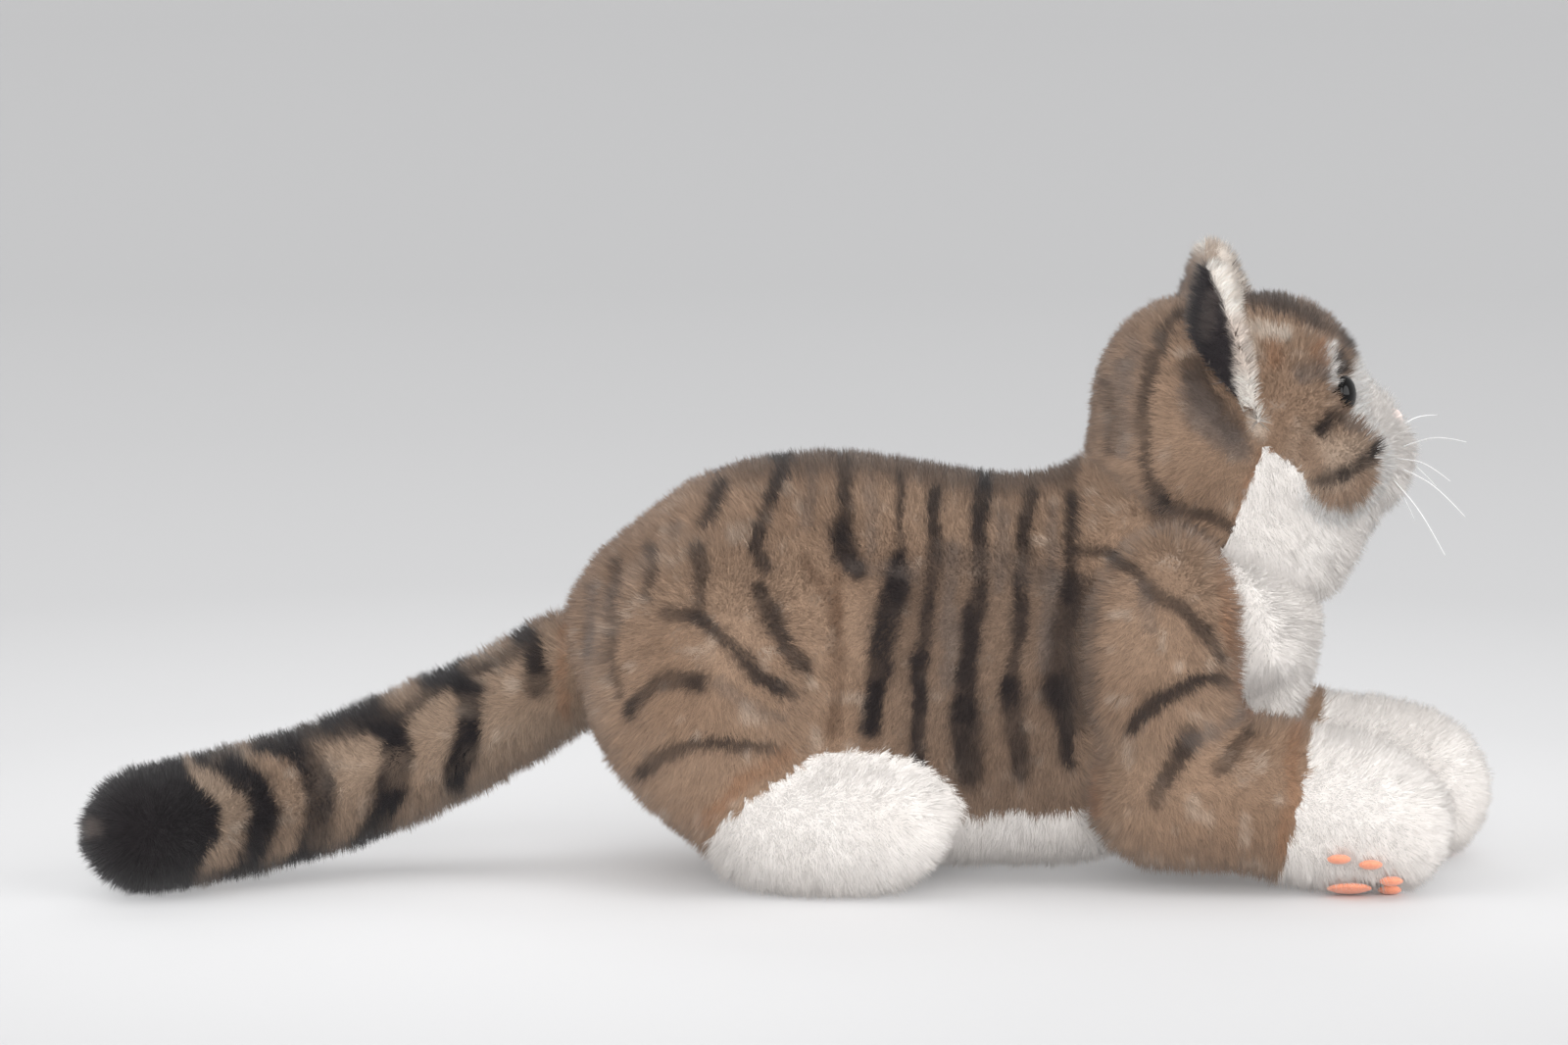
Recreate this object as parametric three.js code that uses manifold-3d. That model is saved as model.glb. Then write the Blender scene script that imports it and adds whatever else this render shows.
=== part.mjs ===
// Plush tabby cat lying on its belly, head up, forelegs stretched out in front and tail laid behind.
// Millimetres, +X forward, +Y to the cat's left, +Z up. The cat stands on z = 0.
// Every fabric piece is drawn to the tips of its pile.

import * as THREE from "three";
import { mergeVertices } from "three/addons/utils/BufferGeometryUtils.js";
import Module from "manifold-3d";

const wasm = await Module();
wasm.setup();

// Fabric and fits
const pileDepth = 6;
const backingThickness = 1.2;
const clearance = 0.3;
const restCut = 0.5;

// Torso
const torsoLength = 265;
const torsoTop = 151;
const torsoBottom = 6;
const torsoWidth = 108;
const rumpX = -75;
const bibDepth = 36;
const bellyPanelTop = 31;

// Neck joint: a flat seam that leans forward
const neckLean = 32.4;
const neckX = 150;
const neckZ = 125.7;
const neckLength = 98;
const neckWidth = 88;

// Head
const headLength = 97;
const headWidth = 100;
const headCrown = 207.7;
const headHeight = 96;
const headBackX = 111;
const cheekLength = 48;
const cheekWidth = 40;
const cheekHeight = 40;
const cheekSpacing = 54;
const cheekSetBack = 18;
const cheekDrop = 8;
const muzzleLength = 42;
const muzzleWidth = 54;
const muzzleHeight = 46;
const muzzleSetBack = 5.5;
const muzzleDrop = 7;
const throatLength = 68;
const throatWidth = 70;
const throatHeight = 52;

// Face
const eyeDiameter = 12;
const eyeDomeHeight = 6;
const eyeSink = 3;
const eyeStemDiameter = 3.4;
const eyeStemLength = 15;
const eyeWasherDiameter = 14;
const eyeWasherThickness = 2;
const eyeForward = 39;
const eyeAcross = 30.5;
const eyeUp = 17.5;
const eyeOutward = 25;
const eyeTilt = 8;
const noseWidth = 13;
const noseHeight = 9;
const noseDepth = 7;
const nosePitch = 34;
const stitchDiameter = 1.4;
const whiskerRootDiameter = 0.9;
const whiskerTipDiameter = 0.5;
const whiskerLength = 36;
const whiskerYaw = 52;
const whiskerDroop = 8;
const whiskersPerSide = 4;

// Ears
const earCoverThickness = 5;
const earLiningThickness = 4;
const earLiningGap = 0.9;
const earCup = 22;
const earInnerBase = [164, 14, 204];
const earOuterBase = [169, 47, 166];
const earTip = [154, 44, 223];
const earTipWidth = 16;
const earRootDepth = 0.3;
const earFoldForward = 15;
const earFoldBack = 10;
const leftEarTurn = 32;

// Tail
const tailRootRadius = 20.5;
const tailRadius = 22.5;
const tailTipRadius = 21;
const tailTipDome = 19;
const tailLength = 194;
const tailKnotRadius = 7;
const tailLift = 30;
const tailSwing = 25;
const tailFlareSlack = 11;
const tailSeatGap = 0.6;

// Forelegs
const forearmLength = 121.5;
const forearmHeight = 56;
const forearmWidth = 42;
const forearmClear = 8.5;
const elbowX = 108.5;
const elbowY = 35;
const pawY = 37;
const wristX = 178.5;
const pawHeight = 60;
const pawWidth = 46;
const upperArmHeight = 92;
const upperArmLength = 50;
const upperArmWidth = 36;
const shoulderX = 134.5;
const shoulderY = 46;
const shoulderZ = 84;
const leftLegReach = 27;
const forelegLift = 18;
const pocketGap = 1.6;

// Paw pads
const pawPadLength = 17;
const pawPadWidth = 13;
const toePadLength = 9;
const toePadWidth = 7.5;
const padThickness = 3.4;
const padProud = 0.9;
const toePads = 4;
const toeRing = 15.5;
const toeStep = 42;
const soleSetBack = 31;
const soleHeading = 45;
const soleTurn = 21;

// Hind legs
const thighLength = 92;
const thighHeight = 118;
const thighWidth = 60;
const thighX = -24;
const thighY = 40;
const hindFootLength = 89;
const hindFootHeight = 55;
const hindFootWidth = 46;
const hindFootX = -29.5;
const heelY = 41;
const hindToeY = 47;

// Derived sizes
const coverWall = pileDepth + backingThickness;
const innerGap = coverWall + clearance;
const seamGap = backingThickness + clearance;
const forearmTop = forearmClear + forearmHeight;
const armInnerY = elbowY - 7;
const forearmInnerY = elbowY - forearmWidth / 2 - 1;
const far = 4 * torsoLength;

// Facet counts of the forms
const bodyRing = 26;
const headRing = 22;
const limbRing = 12;
const coreRing = 8;
const dishRing = 16;
const dishSteps = 4;

// Colours
const tabby = new THREE.Color(0xa58c76);
const darkTabby = new THREE.Color(0x5a514c);
const white = new THREE.Color(0xf0ebe6);
const stuffing = new THREE.Color(0xf4f4f2);
const salmon = new THREE.Color(0xd98468);
const blackPlastic = new THREE.Color(0x080808);
const paleNylon = new THREE.Color(0xf7f7f5);
const greyThread = new THREE.Color(0x6c5f58);
const rosePink = new THREE.Color(0xc98f86);

// Materials
function fabric(color) {
  return new THREE.MeshStandardMaterial({ color, roughness: 0.95, metalness: 0 });
}

function plastic(color, roughness) {
  return new THREE.MeshStandardMaterial({ color, roughness, metalness: 0 });
}

// Vectors and geometry helpers
function vec(x, y, z) {
  return new THREE.Vector3(x, y, z);
}

function closedGeometry(points, triangles) {
  let volume = 0;
  for (const [a, b, c] of triangles) {
    volume += points[a].dot(points[b].clone().cross(points[c]));
  }
  const index = triangles.flatMap(([a, b, c]) => (volume < 0 ? [a, c, b] : [a, b, c]));
  const geometry = new THREE.BufferGeometry();
  const places = points.flatMap((p) => p.toArray());
  geometry.setAttribute("position", new THREE.Float32BufferAttribute(places, 3));
  geometry.setIndex(index);
  return geometry;
}

function solid(geometry) {
  const plain = geometry.clone();
  plain.deleteAttribute("normal");
  plain.deleteAttribute("uv");
  const merged = mergeVertices(plain, 1e-4);
  const mesh = new wasm.Mesh({
    numProp: 3,
    vertProperties: new Float32Array(merged.attributes.position.array),
    triVerts: new Uint32Array(merged.index.array),
  });
  return new wasm.Manifold(mesh);
}

function geometryOf(manifold) {
  const mesh = manifold.getMesh();
  const geometry = new THREE.BufferGeometry();
  geometry.setAttribute("position", new THREE.BufferAttribute(new Float32Array(mesh.vertProperties), 3));
  geometry.setIndex(new THREE.BufferAttribute(new Uint32Array(mesh.triVerts), 1));
  return geometry;
}

function turned(geometry, pivot, axis, degrees) {
  const rotation = new THREE.Matrix4().makeRotationAxis(axis, THREE.MathUtils.degToRad(degrees));
  return geometry
    .clone()
    .translate(-pivot.x, -pivot.y, -pivot.z)
    .applyMatrix4(rotation)
    .translate(pivot.x, pivot.y, pivot.z);
}

// A block that fills everything on the side of a plane that its normal points to
function beyond(point, normal) {
  const block = new THREE.BoxGeometry(far, far, far).translate(0, 0, far / 2);
  const aim = new THREE.Quaternion().setFromUnitVectors(vec(0, 0, 1), normal.clone().normalize());
  return solid(block.applyQuaternion(aim).translate(point.x, point.y, point.z));
}

// Value of a list of stations at a share of the way along, smoothly interpolated
function along(shares, values, share) {
  let i = 0;
  while (i < shares.length - 2 && share > shares[i + 1]) {
    i += 1;
  }
  const span = shares[i + 1] - shares[i];
  const t = (share - shares[i]) / span;
  const slope = (k) => {
    const before = Math.max(k - 1, 0);
    const after = Math.min(k + 1, shares.length - 1);
    return (values[after] - values[before]) / (shares[after] - shares[before]);
  };
  const t2 = t * t;
  const t3 = t2 * t;
  return (
    (2 * t3 - 3 * t2 + 1) * values[i] +
    (t3 - 2 * t2 + t) * span * slope(i) +
    (3 * t2 - 2 * t3) * values[i + 1] +
    (t3 - t2) * span * slope(i + 1)
  );
}

// A stuffed form that swells and tapers along a path, closed by a dome at each end.
// Each station is [share of the path, x, y, z, reach up, reach down, reach to the sides].
// The rings stand square to the path, with their width across the upright direction.
function stuffedForm(shape, grow = 0, ring = limbRing, rings = shape.rings) {
  const { stations, upright = vec(0, 0, 1), startDome, endDome, fullness = 2, domeFullness = 2 } = shape;
  const shares = stations.map((s) => s[0]);
  const value = (column, share) => along(shares, stations.map((s) => s[column]), share);
  const centre = (share) => vec(value(1, share), value(2, share), value(3, share));
  const last = shares[shares.length - 1];
  const length = stations.slice(1).reduce((sum, s, i) => {
    const a = stations[i];
    return sum + Math.hypot(s[1] - a[1], s[2] - a[2], s[3] - a[3]);
  }, 0);
  const domed = (share) => {
    const fromStart = Math.min((share * length) / startDome, 1);
    const fromEnd = Math.min(((last - share) * length) / endDome, 1);
    const lift = (u) => (1 - (1 - u) ** domeFullness) ** (1 / domeFullness);
    return lift(fromStart) * lift(fromEnd);
  };
  const points = [];
  const poles = [];
  for (let i = 0; i <= rings; i += 1) {
    const share = (last * (1 - Math.cos((Math.PI * i) / rings))) / 2;
    const step = last / 200;
    const tangent = centre(Math.min(share + step, last)).sub(centre(Math.max(share - step, 0))).normalize();
    const across = upright.clone().cross(tangent).normalize();
    const high = tangent.clone().cross(across);
    const middle = centre(share).addScaledVector(tangent, grow * ((2 * share) / last - 1));
    if (i === 0 || i === rings) {
      poles.push(middle);
      continue;
    }
    for (let k = 0; k < ring; k += 1) {
      const angle = (2 * Math.PI * k) / ring;
      const c = Math.sign(Math.cos(angle)) * Math.abs(Math.cos(angle)) ** (2 / fullness);
      const s = Math.sign(Math.sin(angle)) * Math.abs(Math.sin(angle)) ** (2 / fullness);
      const reach = s > 0 ? value(4, share) : value(5, share);
      const point = middle.clone();
      point.addScaledVector(across, c * (value(6, share) + grow) * domed(share));
      point.addScaledVector(high, s * (reach + grow) * domed(share));
      points.push(point);
    }
  }
  const triangles = [];
  for (let i = 0; i < rings - 2; i += 1) {
    for (let k = 0; k < ring; k += 1) {
      const a = i * ring + k;
      const b = i * ring + ((k + 1) % ring);
      triangles.push([a, b, b + ring], [a, b + ring, a + ring]);
    }
  }
  const start = points.push(poles[0]) - 1;
  const end = points.push(poles[1]) - 1;
  for (let k = 0; k < ring; k += 1) {
    const next = (k + 1) % ring;
    const base = (rings - 2) * ring;
    triangles.push([start, next, k], [end, base + k, base + next]);
  }
  return closedGeometry(points, triangles);
}

// An egg with its own half sizes, for pads and lobes
function lobe(centre, halfLength, halfWidth, halfHeight, grow = 0, columns = 14, rows = 10) {
  return new THREE.SphereGeometry(1, columns, rows)
    .rotateX(Math.PI / 2)
    .scale(halfLength + grow, halfWidth + grow, halfHeight + grow)
    .translate(centre.x, centre.y, centre.z);
}

// Where a ray from outside first meets a skin, and the way the skin faces there
function seatOn(geometry, from, direction) {
  const skin = new THREE.Mesh(geometry, new THREE.MeshBasicMaterial({ side: THREE.DoubleSide }));
  const ray = new THREE.Raycaster(from, direction.clone().normalize());
  const [hit] = ray.intersectObject(skin);
  return hit.point.clone();
}

// Torso form, rump to chest
const torsoMiddle = (torsoTop + torsoBottom) / 2;
const torsoHeight = torsoTop - torsoBottom;

function torsoStation(share, top, bottom, width) {
  const x = rumpX + share * torsoLength;
  const zTop = torsoBottom + top * torsoHeight;
  const zBottom = torsoBottom + bottom * torsoHeight;
  return [share, x, 0, torsoMiddle, zTop - torsoMiddle, torsoMiddle - zBottom, (width * torsoWidth) / 2];
}

const torsoShape = {
  stations: [
    torsoStation(0, 0.83, 0.3, 0.78),
    torsoStation(0.08, 0.82, 0.21, 0.87),
    torsoStation(0.15, 0.92, 0.07, 0.94),
    torsoStation(0.22, 0.97, 0.02, 0.98),
    torsoStation(0.3, 1, 0, 1),
    torsoStation(0.42, 0.99, 0, 1),
    torsoStation(0.57, 0.945, 0, 0.95),
    torsoStation(0.67, 0.96, 0.0, 0.89),
    torsoStation(0.76, 1.05, 0.04, 0.85),
    torsoStation(0.86, 1.03, 0.13, 0.82),
    torsoStation(0.94, 0.92, 0.24, 0.78),
    torsoStation(1, 0.84, 0.3, 0.74),
  ],
  startDome: 26,
  endDome: 24,
  fullness: 2.15,
  rings: 24,
};

// Neck: a short column square to the seam, shared by the torso and the head
const neckPoint = vec(neckX, 0, neckZ);
const neckAxis = vec(0, 0, 1).applyAxisAngle(vec(0, 1, 0), THREE.MathUtils.degToRad(neckLean));

function neckForm(grow, ring, rings) {
  const reach = neckLength * 0.55;
  const station = (share, size) => {
    const p = neckPoint.clone().addScaledVector(neckAxis, (share - 0.5) * 2 * reach);
    return [share, p.x, p.y, p.z, (size * neckLength) / 2, (size * neckLength) / 2, (size * neckWidth) / 2];
  };
  const shape = {
    stations: [station(0, 0.9), station(0.3, 0.98), station(0.5, 1), station(0.7, 0.98), station(1, 0.9)],
    upright: vec(1, 0, 0),
    startDome: reach * 0.8,
    endDome: reach * 0.8,
    rings,
  };
  return stuffedForm(shape, grow, ring, rings);
}

function torsoForm(grow, ring = coreRing, rings = 14) {
  return solid(stuffedForm(torsoShape, grow, ring, rings)).add(solid(neckForm(grow, ring, 8)));
}

// Tail form: path from the root ball to the tip, resting low behind the cat
const tailPivot = vec(rumpX - 5, 0, 72);
const tailMouthWay = vec(0.86, 0, 0.5).normalize();

function tailStation(share, across, height, radius) {
  const x = tailPivot.x - across[0] * tailLength;
  return [share, x, across[1] * tailLength, height, radius, radius, radius];
}

function tailRootStation(share, inward) {
  const p = tailPivot.clone().addScaledVector(tailMouthWay, inward);
  return [share, p.x, p.y, p.z, tailRootRadius, tailRootRadius, tailRootRadius];
}

const tailShape = {
  stations: [
    tailRootStation(0, tailRootRadius),
    tailRootStation(0.1, 0),
    tailStation(0.24, [0.129, 0.02], 57, tailRadius * 0.96),
    tailStation(0.42, [0.31, 0.026], 40.5, tailRadius * 1.03),
    tailStation(0.55, [0.438, 0], 31.5, tailRadius),
    tailStation(0.67, [0.557, -0.052], 26.4, tailRadius * 0.99),
    tailStation(0.79, [0.66, -0.129], 24.2, tailRadius * 0.98),
    tailStation(0.9, [0.742, -0.216], 23.4, tailTipRadius * 1.02),
    tailStation(1, [0.82, -0.31], 23.6, tailTipRadius),
  ],
  startDome: tailRootRadius,
  endDome: tailTipDome,
  rings: 22,
};

function tailForm(grow, ring = coreRing, rings = 14) {
  return stuffedForm(tailShape, grow, ring, rings);
}

// Foreleg form: a forearm and paw along the ground, and an upper arm that laps the torso
function forearmShape(side) {
  const reach = side > 0 ? leftLegReach : 0;
  const length = forearmLength + reach;
  const station = (share, y, bottom, middle, top, width) => {
    const x = elbowX + share * length;
    return [share, x, side * y, middle, top - middle, middle - bottom, width / 2];
  };
  return {
    stations: [
      station(0, elbowY, 20, 40, 62, forearmWidth),
      station(0.14, elbowY, forearmClear + 2, 37, forearmTop, forearmWidth),
      station(0.34, elbowY + 1, forearmClear, 36, forearmTop, forearmWidth),
      station(0.5, elbowY + 1, forearmClear - 1, 34, forearmTop - 1, forearmWidth * 0.98),
      station(0.62, pawY - 0.5, 2.5, 30, pawHeight, forearmWidth * 1.04),
      station(0.76, pawY, -restCut, 28, pawHeight * 0.97, pawWidth),
      station(0.88, pawY, -restCut, 28, pawHeight * 0.87, pawWidth),
      station(1, pawY, 1, 28, pawHeight * 0.72, pawWidth * 0.95),
    ],
    startDome: 20,
    endDome: 17,
    fullness: 2.1,
    rings: 16,
  };
}

function upperArmShape(side) {
  const station = (share, x, y, length, width) => {
    const z = shoulderZ + upperArmHeight * (0.5 - share);
    return [share, x, side * y, z, length / 2, length / 2, width / 2];
  };
  return {
    stations: [
      station(0, shoulderX + 2, shoulderY - 4, upperArmLength * 0.8, upperArmWidth * 0.8),
      station(0.3, shoulderX, shoulderY, upperArmLength, upperArmWidth),
      station(0.65, shoulderX - 1, shoulderY - 2, upperArmLength, upperArmWidth),
      station(1, shoulderX - 2, shoulderY - 8, upperArmLength * 0.8, upperArmWidth * 0.7),
    ],
    upright: vec(1, 0, 0),
    startDome: 30,
    endDome: 24,
    rings: 12,
  };
}

function forelegForm(side, grow, ring = coreRing, rings = 12) {
  const forearm = solid(stuffedForm(forearmShape(side), grow, ring, rings));
  return forearm.add(solid(stuffedForm(upperArmShape(side), grow, ring, Math.min(rings, 10))));
}

// Hind leg forms: a haunch that tapers down to the hock, and a long foot turned outward
function thighShape(side) {
  const top = thighHeight + 11;
  const station = (share, x, y, length, width) => {
    const z = top - share * thighHeight;
    const across = (width * thighWidth) / 2;
    return [share, thighX + x * thighLength, side * thighY * y, z, length, length, across];
  };
  const half = thighLength / 2;
  return {
    stations: [
      station(0, 0.09, 0.86, half * 0.74, 0.66),
      station(0.22, 0.04, 0.97, half * 0.9, 0.88),
      station(0.45, 0, 1, half, 1),
      station(0.65, 0.04, 1, half * 0.86, 0.88),
      station(0.85, 0.11, 0.98, half * 0.52, 0.62),
      station(1, 0.13, 0.95, half * 0.42, 0.5),
    ],
    upright: vec(1, 0, 0),
    startDome: 40,
    endDome: 18,
    rings: 12,
  };
}

function hindFootShape(side) {
  const station = (share, bottom, top, width) => {
    const y = THREE.MathUtils.lerp(heelY, hindToeY, share);
    const zTop = top * hindFootHeight;
    const zBottom = bottom * hindFootHeight - restCut;
    const middle = (zTop + zBottom) / 2;
    const x = hindFootX + share * hindFootLength;
    return [share, x, side * y, middle, zTop - middle, middle - zBottom, (width * hindFootWidth) / 2];
  };
  return {
    stations: [
      station(0, 0.14, 0.76, 0.72),
      station(0.17, 0.06, 0.87, 0.88),
      station(0.34, 0.015, 0.97, 0.97),
      station(0.52, 0, 1, 1),
      station(0.7, 0.03, 0.99, 0.98),
      station(0.86, 0.2, 0.95, 0.9),
      station(1, 0.36, 0.92, 0.8),
    ],
    startDome: 16,
    endDome: 17,
    rings: 13,
  };
}

// Head form: skull with a flat crown, a cheek on each side, and the neck column
const headMiddle = headCrown - headHeight / 2;

function skullStation(share, up, down, side) {
  const x = headBackX + share * headLength;
  return [share, x, 0, headMiddle, headHeight * up, headHeight * down, headWidth * side];
}

const skullShape = {
  stations: [
    skullStation(0, 0.47, 0.45, 0.44),
    skullStation(0.25, 0.5, 0.5, 0.49),
    skullStation(0.5, 0.5, 0.5, 0.5),
    skullStation(0.8, 0.505, 0.44, 0.47),
    skullStation(1, 0.46, 0.4, 0.44),
  ],
  startDome: headLength * 0.42,
  endDome: headLength * 0.44,
  fullness: 2.1,
  domeFullness: 2.55,
  rings: 16,
};

const headCentre = vec(headBackX + headLength / 2, 0, headMiddle);

function cheeksForm(grow, columns = 12) {
  const cheekX = headBackX + headLength - cheekSetBack;
  const [right, left] = [-1, 1].map((side) => {
    const centre = vec(cheekX, (side * cheekSpacing) / 2, headMiddle - cheekDrop);
    return solid(lobe(centre, cheekLength / 2, cheekWidth / 2, cheekHeight / 2, grow, columns, 8));
  });
  return right.add(left);
}

function skullAndNeck(grow, ring, rings) {
  return solid(stuffedForm(skullShape, grow, ring, rings)).add(solid(neckForm(grow, ring, 8)));
}

function headForm(grow) {
  const throat = lobe(throatCentre, throatLength / 2, throatWidth / 2, throatHeight / 2, grow, 18, 10);
  return skullAndNeck(grow, headRing, skullShape.rings).add(solid(throat)).add(cheeksForm(grow));
}

// Muzzle lobe
const throatCentre = vec(neckX + 25, 0, neckZ + 2.3);
const muzzleCentre = vec(headBackX + headLength - muzzleSetBack, 0, headMiddle - muzzleDrop);

function muzzleForm(grow) {
  return lobe(muzzleCentre, muzzleLength / 2, muzzleWidth / 2, muzzleHeight / 2, grow, 16, 10);
}

// Cutting planes
const aboveNeck = beyond(neckPoint.clone().addScaledVector(neckAxis, -clearance / 2), neckAxis);
const neckDown = neckAxis.clone().negate();
const belowNeck = beyond(neckPoint.clone().addScaledVector(neckDown, -clearance / 2), neckDown);
const belowGround = beyond(vec(0, 0, 0), vec(0, 0, -1));
const bibX = rumpX + torsoLength - bibDepth;
const bibRegion = beyond(vec(bibX + clearance / 2, 0, 0), vec(1, 0, 0));
const behindBib = beyond(vec(bibX - clearance / 2, 0, 0), vec(-1, 0, 0));
const bellyRegion = beyond(vec(0, 0, bellyPanelTop - clearance / 2), vec(0, 0, -1));
const flankRegion = beyond(vec(0, 0, bellyPanelTop + clearance / 2), vec(0, 0, 1));

// Joints
const shoulderPivot = (side) => vec(shoulderX, side * shoulderY, shoulderZ + upperArmHeight * 0.2);
const liftAxis = vec(0, -1, 0);
const earPoint = ([x, y, z], side) => vec(x, side * y, z);
const earPivot = (side) => {
  const middle = earPoint(earInnerBase, side).lerp(earPoint(earOuterBase, side), 0.5);
  return middle.add(vec(-earCup / 2, 0, 0));
};
const earTurn = (side) => (side > 0 ? -leftEarTurn : 0);
const earFoldAxis = (side) => {
  const outward = earPoint(earOuterBase, side).sub(earPoint(earInnerBase, side)).normalize();
  outward.applyAxisAngle(vec(0, 0, 1), THREE.MathUtils.degToRad(earTurn(side)));
  return outward.multiplyScalar(side);
};

// The outline of a set of points, seen from the side, as a convex loop
function sideHull(points) {
  const sorted = points.map((p) => new THREE.Vector2(p.x, p.z)).sort((a, b) => a.x - b.x || a.y - b.y);
  const half = (list) => {
    const chain = [];
    for (const p of list) {
      while (chain.length > 1) {
        const [a, b] = chain.slice(-2);
        if (b.clone().sub(a).cross(p.clone().sub(a)) > 0) {
          break;
        }
        chain.pop();
      }
      chain.push(p);
    }
    return chain.slice(0, -1);
  };
  return [...half(sorted), ...half(sorted.reverse())];
}

// A straight-sided pocket, open to the side, that holds a form at every angle of its lift
function liftPocket(side, shape, grow, inner) {
  const points = [];
  for (const share of [0, 0.5, 1]) {
    const form = turned(stuffedForm(shape, grow), shoulderPivot(side), liftAxis, share * forelegLift);
    const place = form.attributes.position;
    for (let i = 0; i < place.count; i += 1) {
      points.push(vec(0, 0, 0).fromBufferAttribute(place, i));
    }
  }
  const outline = new THREE.Shape(sideHull(points));
  const prism = new THREE.ExtrudeGeometry(outline, { depth: torsoWidth, bevelEnabled: false });
  const y = side > 0 ? torsoWidth + inner : -inner;
  return solid(prism.rotateX(Math.PI / 2).translate(0, y, 0));
}

function forelegPockets(side, grow) {
  const arm = liftPocket(side, upperArmShape(side), pocketGap + grow, armInnerY - clearance - grow);
  const forearm = liftPocket(side, forearmShape(side), pocketGap + grow, forearmInnerY - clearance - grow);
  return arm.add(forearm);
}

// A round dish for the ball at the root of the tail, flared to let the tail lift and swing
function tailDish(grow) {
  const flare = THREE.MathUtils.degToRad(tailSwing + tailFlareSlack);
  const step = (Math.PI / 2 - flare) / dishSteps;
  const facetSlack = Math.cos(Math.PI / dishRing) * Math.cos(step / 2);
  const radius = (tailRootRadius + tailSeatGap) / facetSlack + grow;
  const profile = [];
  for (let i = 0; i <= dishSteps; i += 1) {
    profile.push(new THREE.Vector2(radius * Math.sin(i * step), -radius * Math.cos(i * step)));
  }
  const reach = 3 * tailRootRadius;
  const rim = profile[dishSteps];
  profile.push(new THREE.Vector2(rim.x + reach * Math.sin(flare), rim.y + reach * Math.cos(flare)));
  profile.push(new THREE.Vector2(0, rim.y + reach * Math.cos(flare)));
  const dish = new THREE.LatheGeometry(profile, dishRing);
  const halfLift = THREE.MathUtils.degToRad(tailLift / 2);
  const way = tailMouthWay.clone().negate().applyAxisAngle(vec(0, 1, 0), halfLift);
  dish.applyQuaternion(new THREE.Quaternion().setFromUnitVectors(vec(0, 1, 0), way));
  return solid(dish.translate(tailPivot.x, tailPivot.y, tailPivot.z));
}

// Scene tree: one group for each moving body, each at its own pivot
const cat = new THREE.Group();
const groups = new Map();

function bodyGroup(name, pivot) {
  const group = new THREE.Group();
  group.name = name;
  group.position.copy(pivot);
  cat.add(group);
  groups.set(name, group);
  return group;
}

function addPiece(body, name, shape, material) {
  const geometry = shape instanceof THREE.BufferGeometry ? shape.clone() : geometryOf(shape);
  const group = groups.get(body);
  geometry.translate(-group.position.x, -group.position.y, -group.position.z);
  const mesh = new THREE.Mesh(geometry, material);
  mesh.name = name;
  group.add(mesh);
}

const sides = [
  ["right", -1],
  ["left", 1],
];

bodyGroup("torso", vec(0, 0, 0));
bodyGroup("head", neckPoint);
for (const [word, side] of sides) {
  bodyGroup(`ear_${word}`, earPivot(side));
}
bodyGroup("tail_root", tailPivot);
bodyGroup("tail", tailPivot);
for (const [word, side] of sides) {
  bodyGroup(`foreleg_${word}`, shoulderPivot(side));
}

// Torso: a tabby cover, a white belly panel and a white bib round one mass of stuffing
function besideLimbs(form, grow) {
  const rooms = [...sides.map(([, side]) => forelegPockets(side, grow)), tailDish(grow)];
  return rooms.reduce((rest, room) => rest.subtract(room), form);
}

const torsoOuter = besideLimbs(torsoForm(0, bodyRing, torsoShape.rings).subtract(aboveNeck), 0);
const torsoShell = torsoOuter.subtract(besideLimbs(torsoForm(-coverWall), coverWall));
const torsoStuffing = besideLimbs(torsoForm(-innerGap).subtract(aboveNeck), innerGap);

addPiece("torso", "torso_cover", torsoShell.intersect(flankRegion).intersect(behindBib), fabric(tabby));
addPiece("torso", "belly_panel", torsoShell.intersect(bellyRegion).intersect(behindBib), fabric(white));
addPiece("torso", "chest_bib", torsoShell.intersect(bibRegion), fabric(white));
addPiece("torso", "torso_stuffing", torsoStuffing, fabric(stuffing));

// Hind legs: each haunch and foot is sewn against the torso, and the haunch against the foot's top
for (const [word, side] of sides) {
  const thigh = stuffedForm(thighShape(side), 0, limbRing);
  const foot = stuffedForm(hindFootShape(side), 0, limbRing);
  const torsoBeside = torsoForm(clearance, bodyRing, torsoShape.rings);
  const tailBeside = tailDish(0);
  const footBeside = solid(stuffedForm(hindFootShape(side), clearance, limbRing)).add(belowGround);
  const thighRoom = solid(thigh).subtract(torsoBeside).subtract(footBeside).subtract(tailBeside);
  const footRoom = solid(foot).subtract(torsoBeside).subtract(belowGround);
  const legCore = solid(stuffedForm(thighShape(side), -innerGap, coreRing, 10))
    .add(solid(stuffedForm(hindFootShape(side), -innerGap, coreRing, 10)))
    .subtract(torsoForm(seamGap + clearance, bodyRing, torsoShape.rings));
  const hollow = solid(stuffedForm(thighShape(side), -coverWall, coreRing, 10))
    .add(solid(stuffedForm(hindFootShape(side), -coverWall, coreRing, 10)))
    .subtract(torsoForm(seamGap, bodyRing, torsoShape.rings));
  addPiece("torso", `thigh_cover_${word}`, thighRoom.subtract(hollow), fabric(tabby));
  addPiece("torso", `hind_foot_${word}`, footRoom.subtract(hollow), fabric(white));
  addPiece("torso", `hind_stuffing_${word}`, legCore, fabric(stuffing));
}

// Head: a tabby cover with cheeks, and a white throat panel, round one mass of stuffing
const headShell = headForm(0).subtract(belowNeck).subtract(skullAndNeck(-coverWall, coreRing, 12));
const jawLine = vec(-0.61, 0, -0.79);
const throatFront = vec(0.94, 0, -0.34);

function throatRegion(grow) {
  const back = vec(neckX + 10.5, 0, neckZ + 12.3).addScaledVector(throatFront, -grow);
  const jaw = vec(neckX + 38, 0, neckZ + 18.3).addScaledVector(jawLine, -grow);
  return beyond(back, throatFront).intersect(beyond(jaw, jawLine));
}

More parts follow.
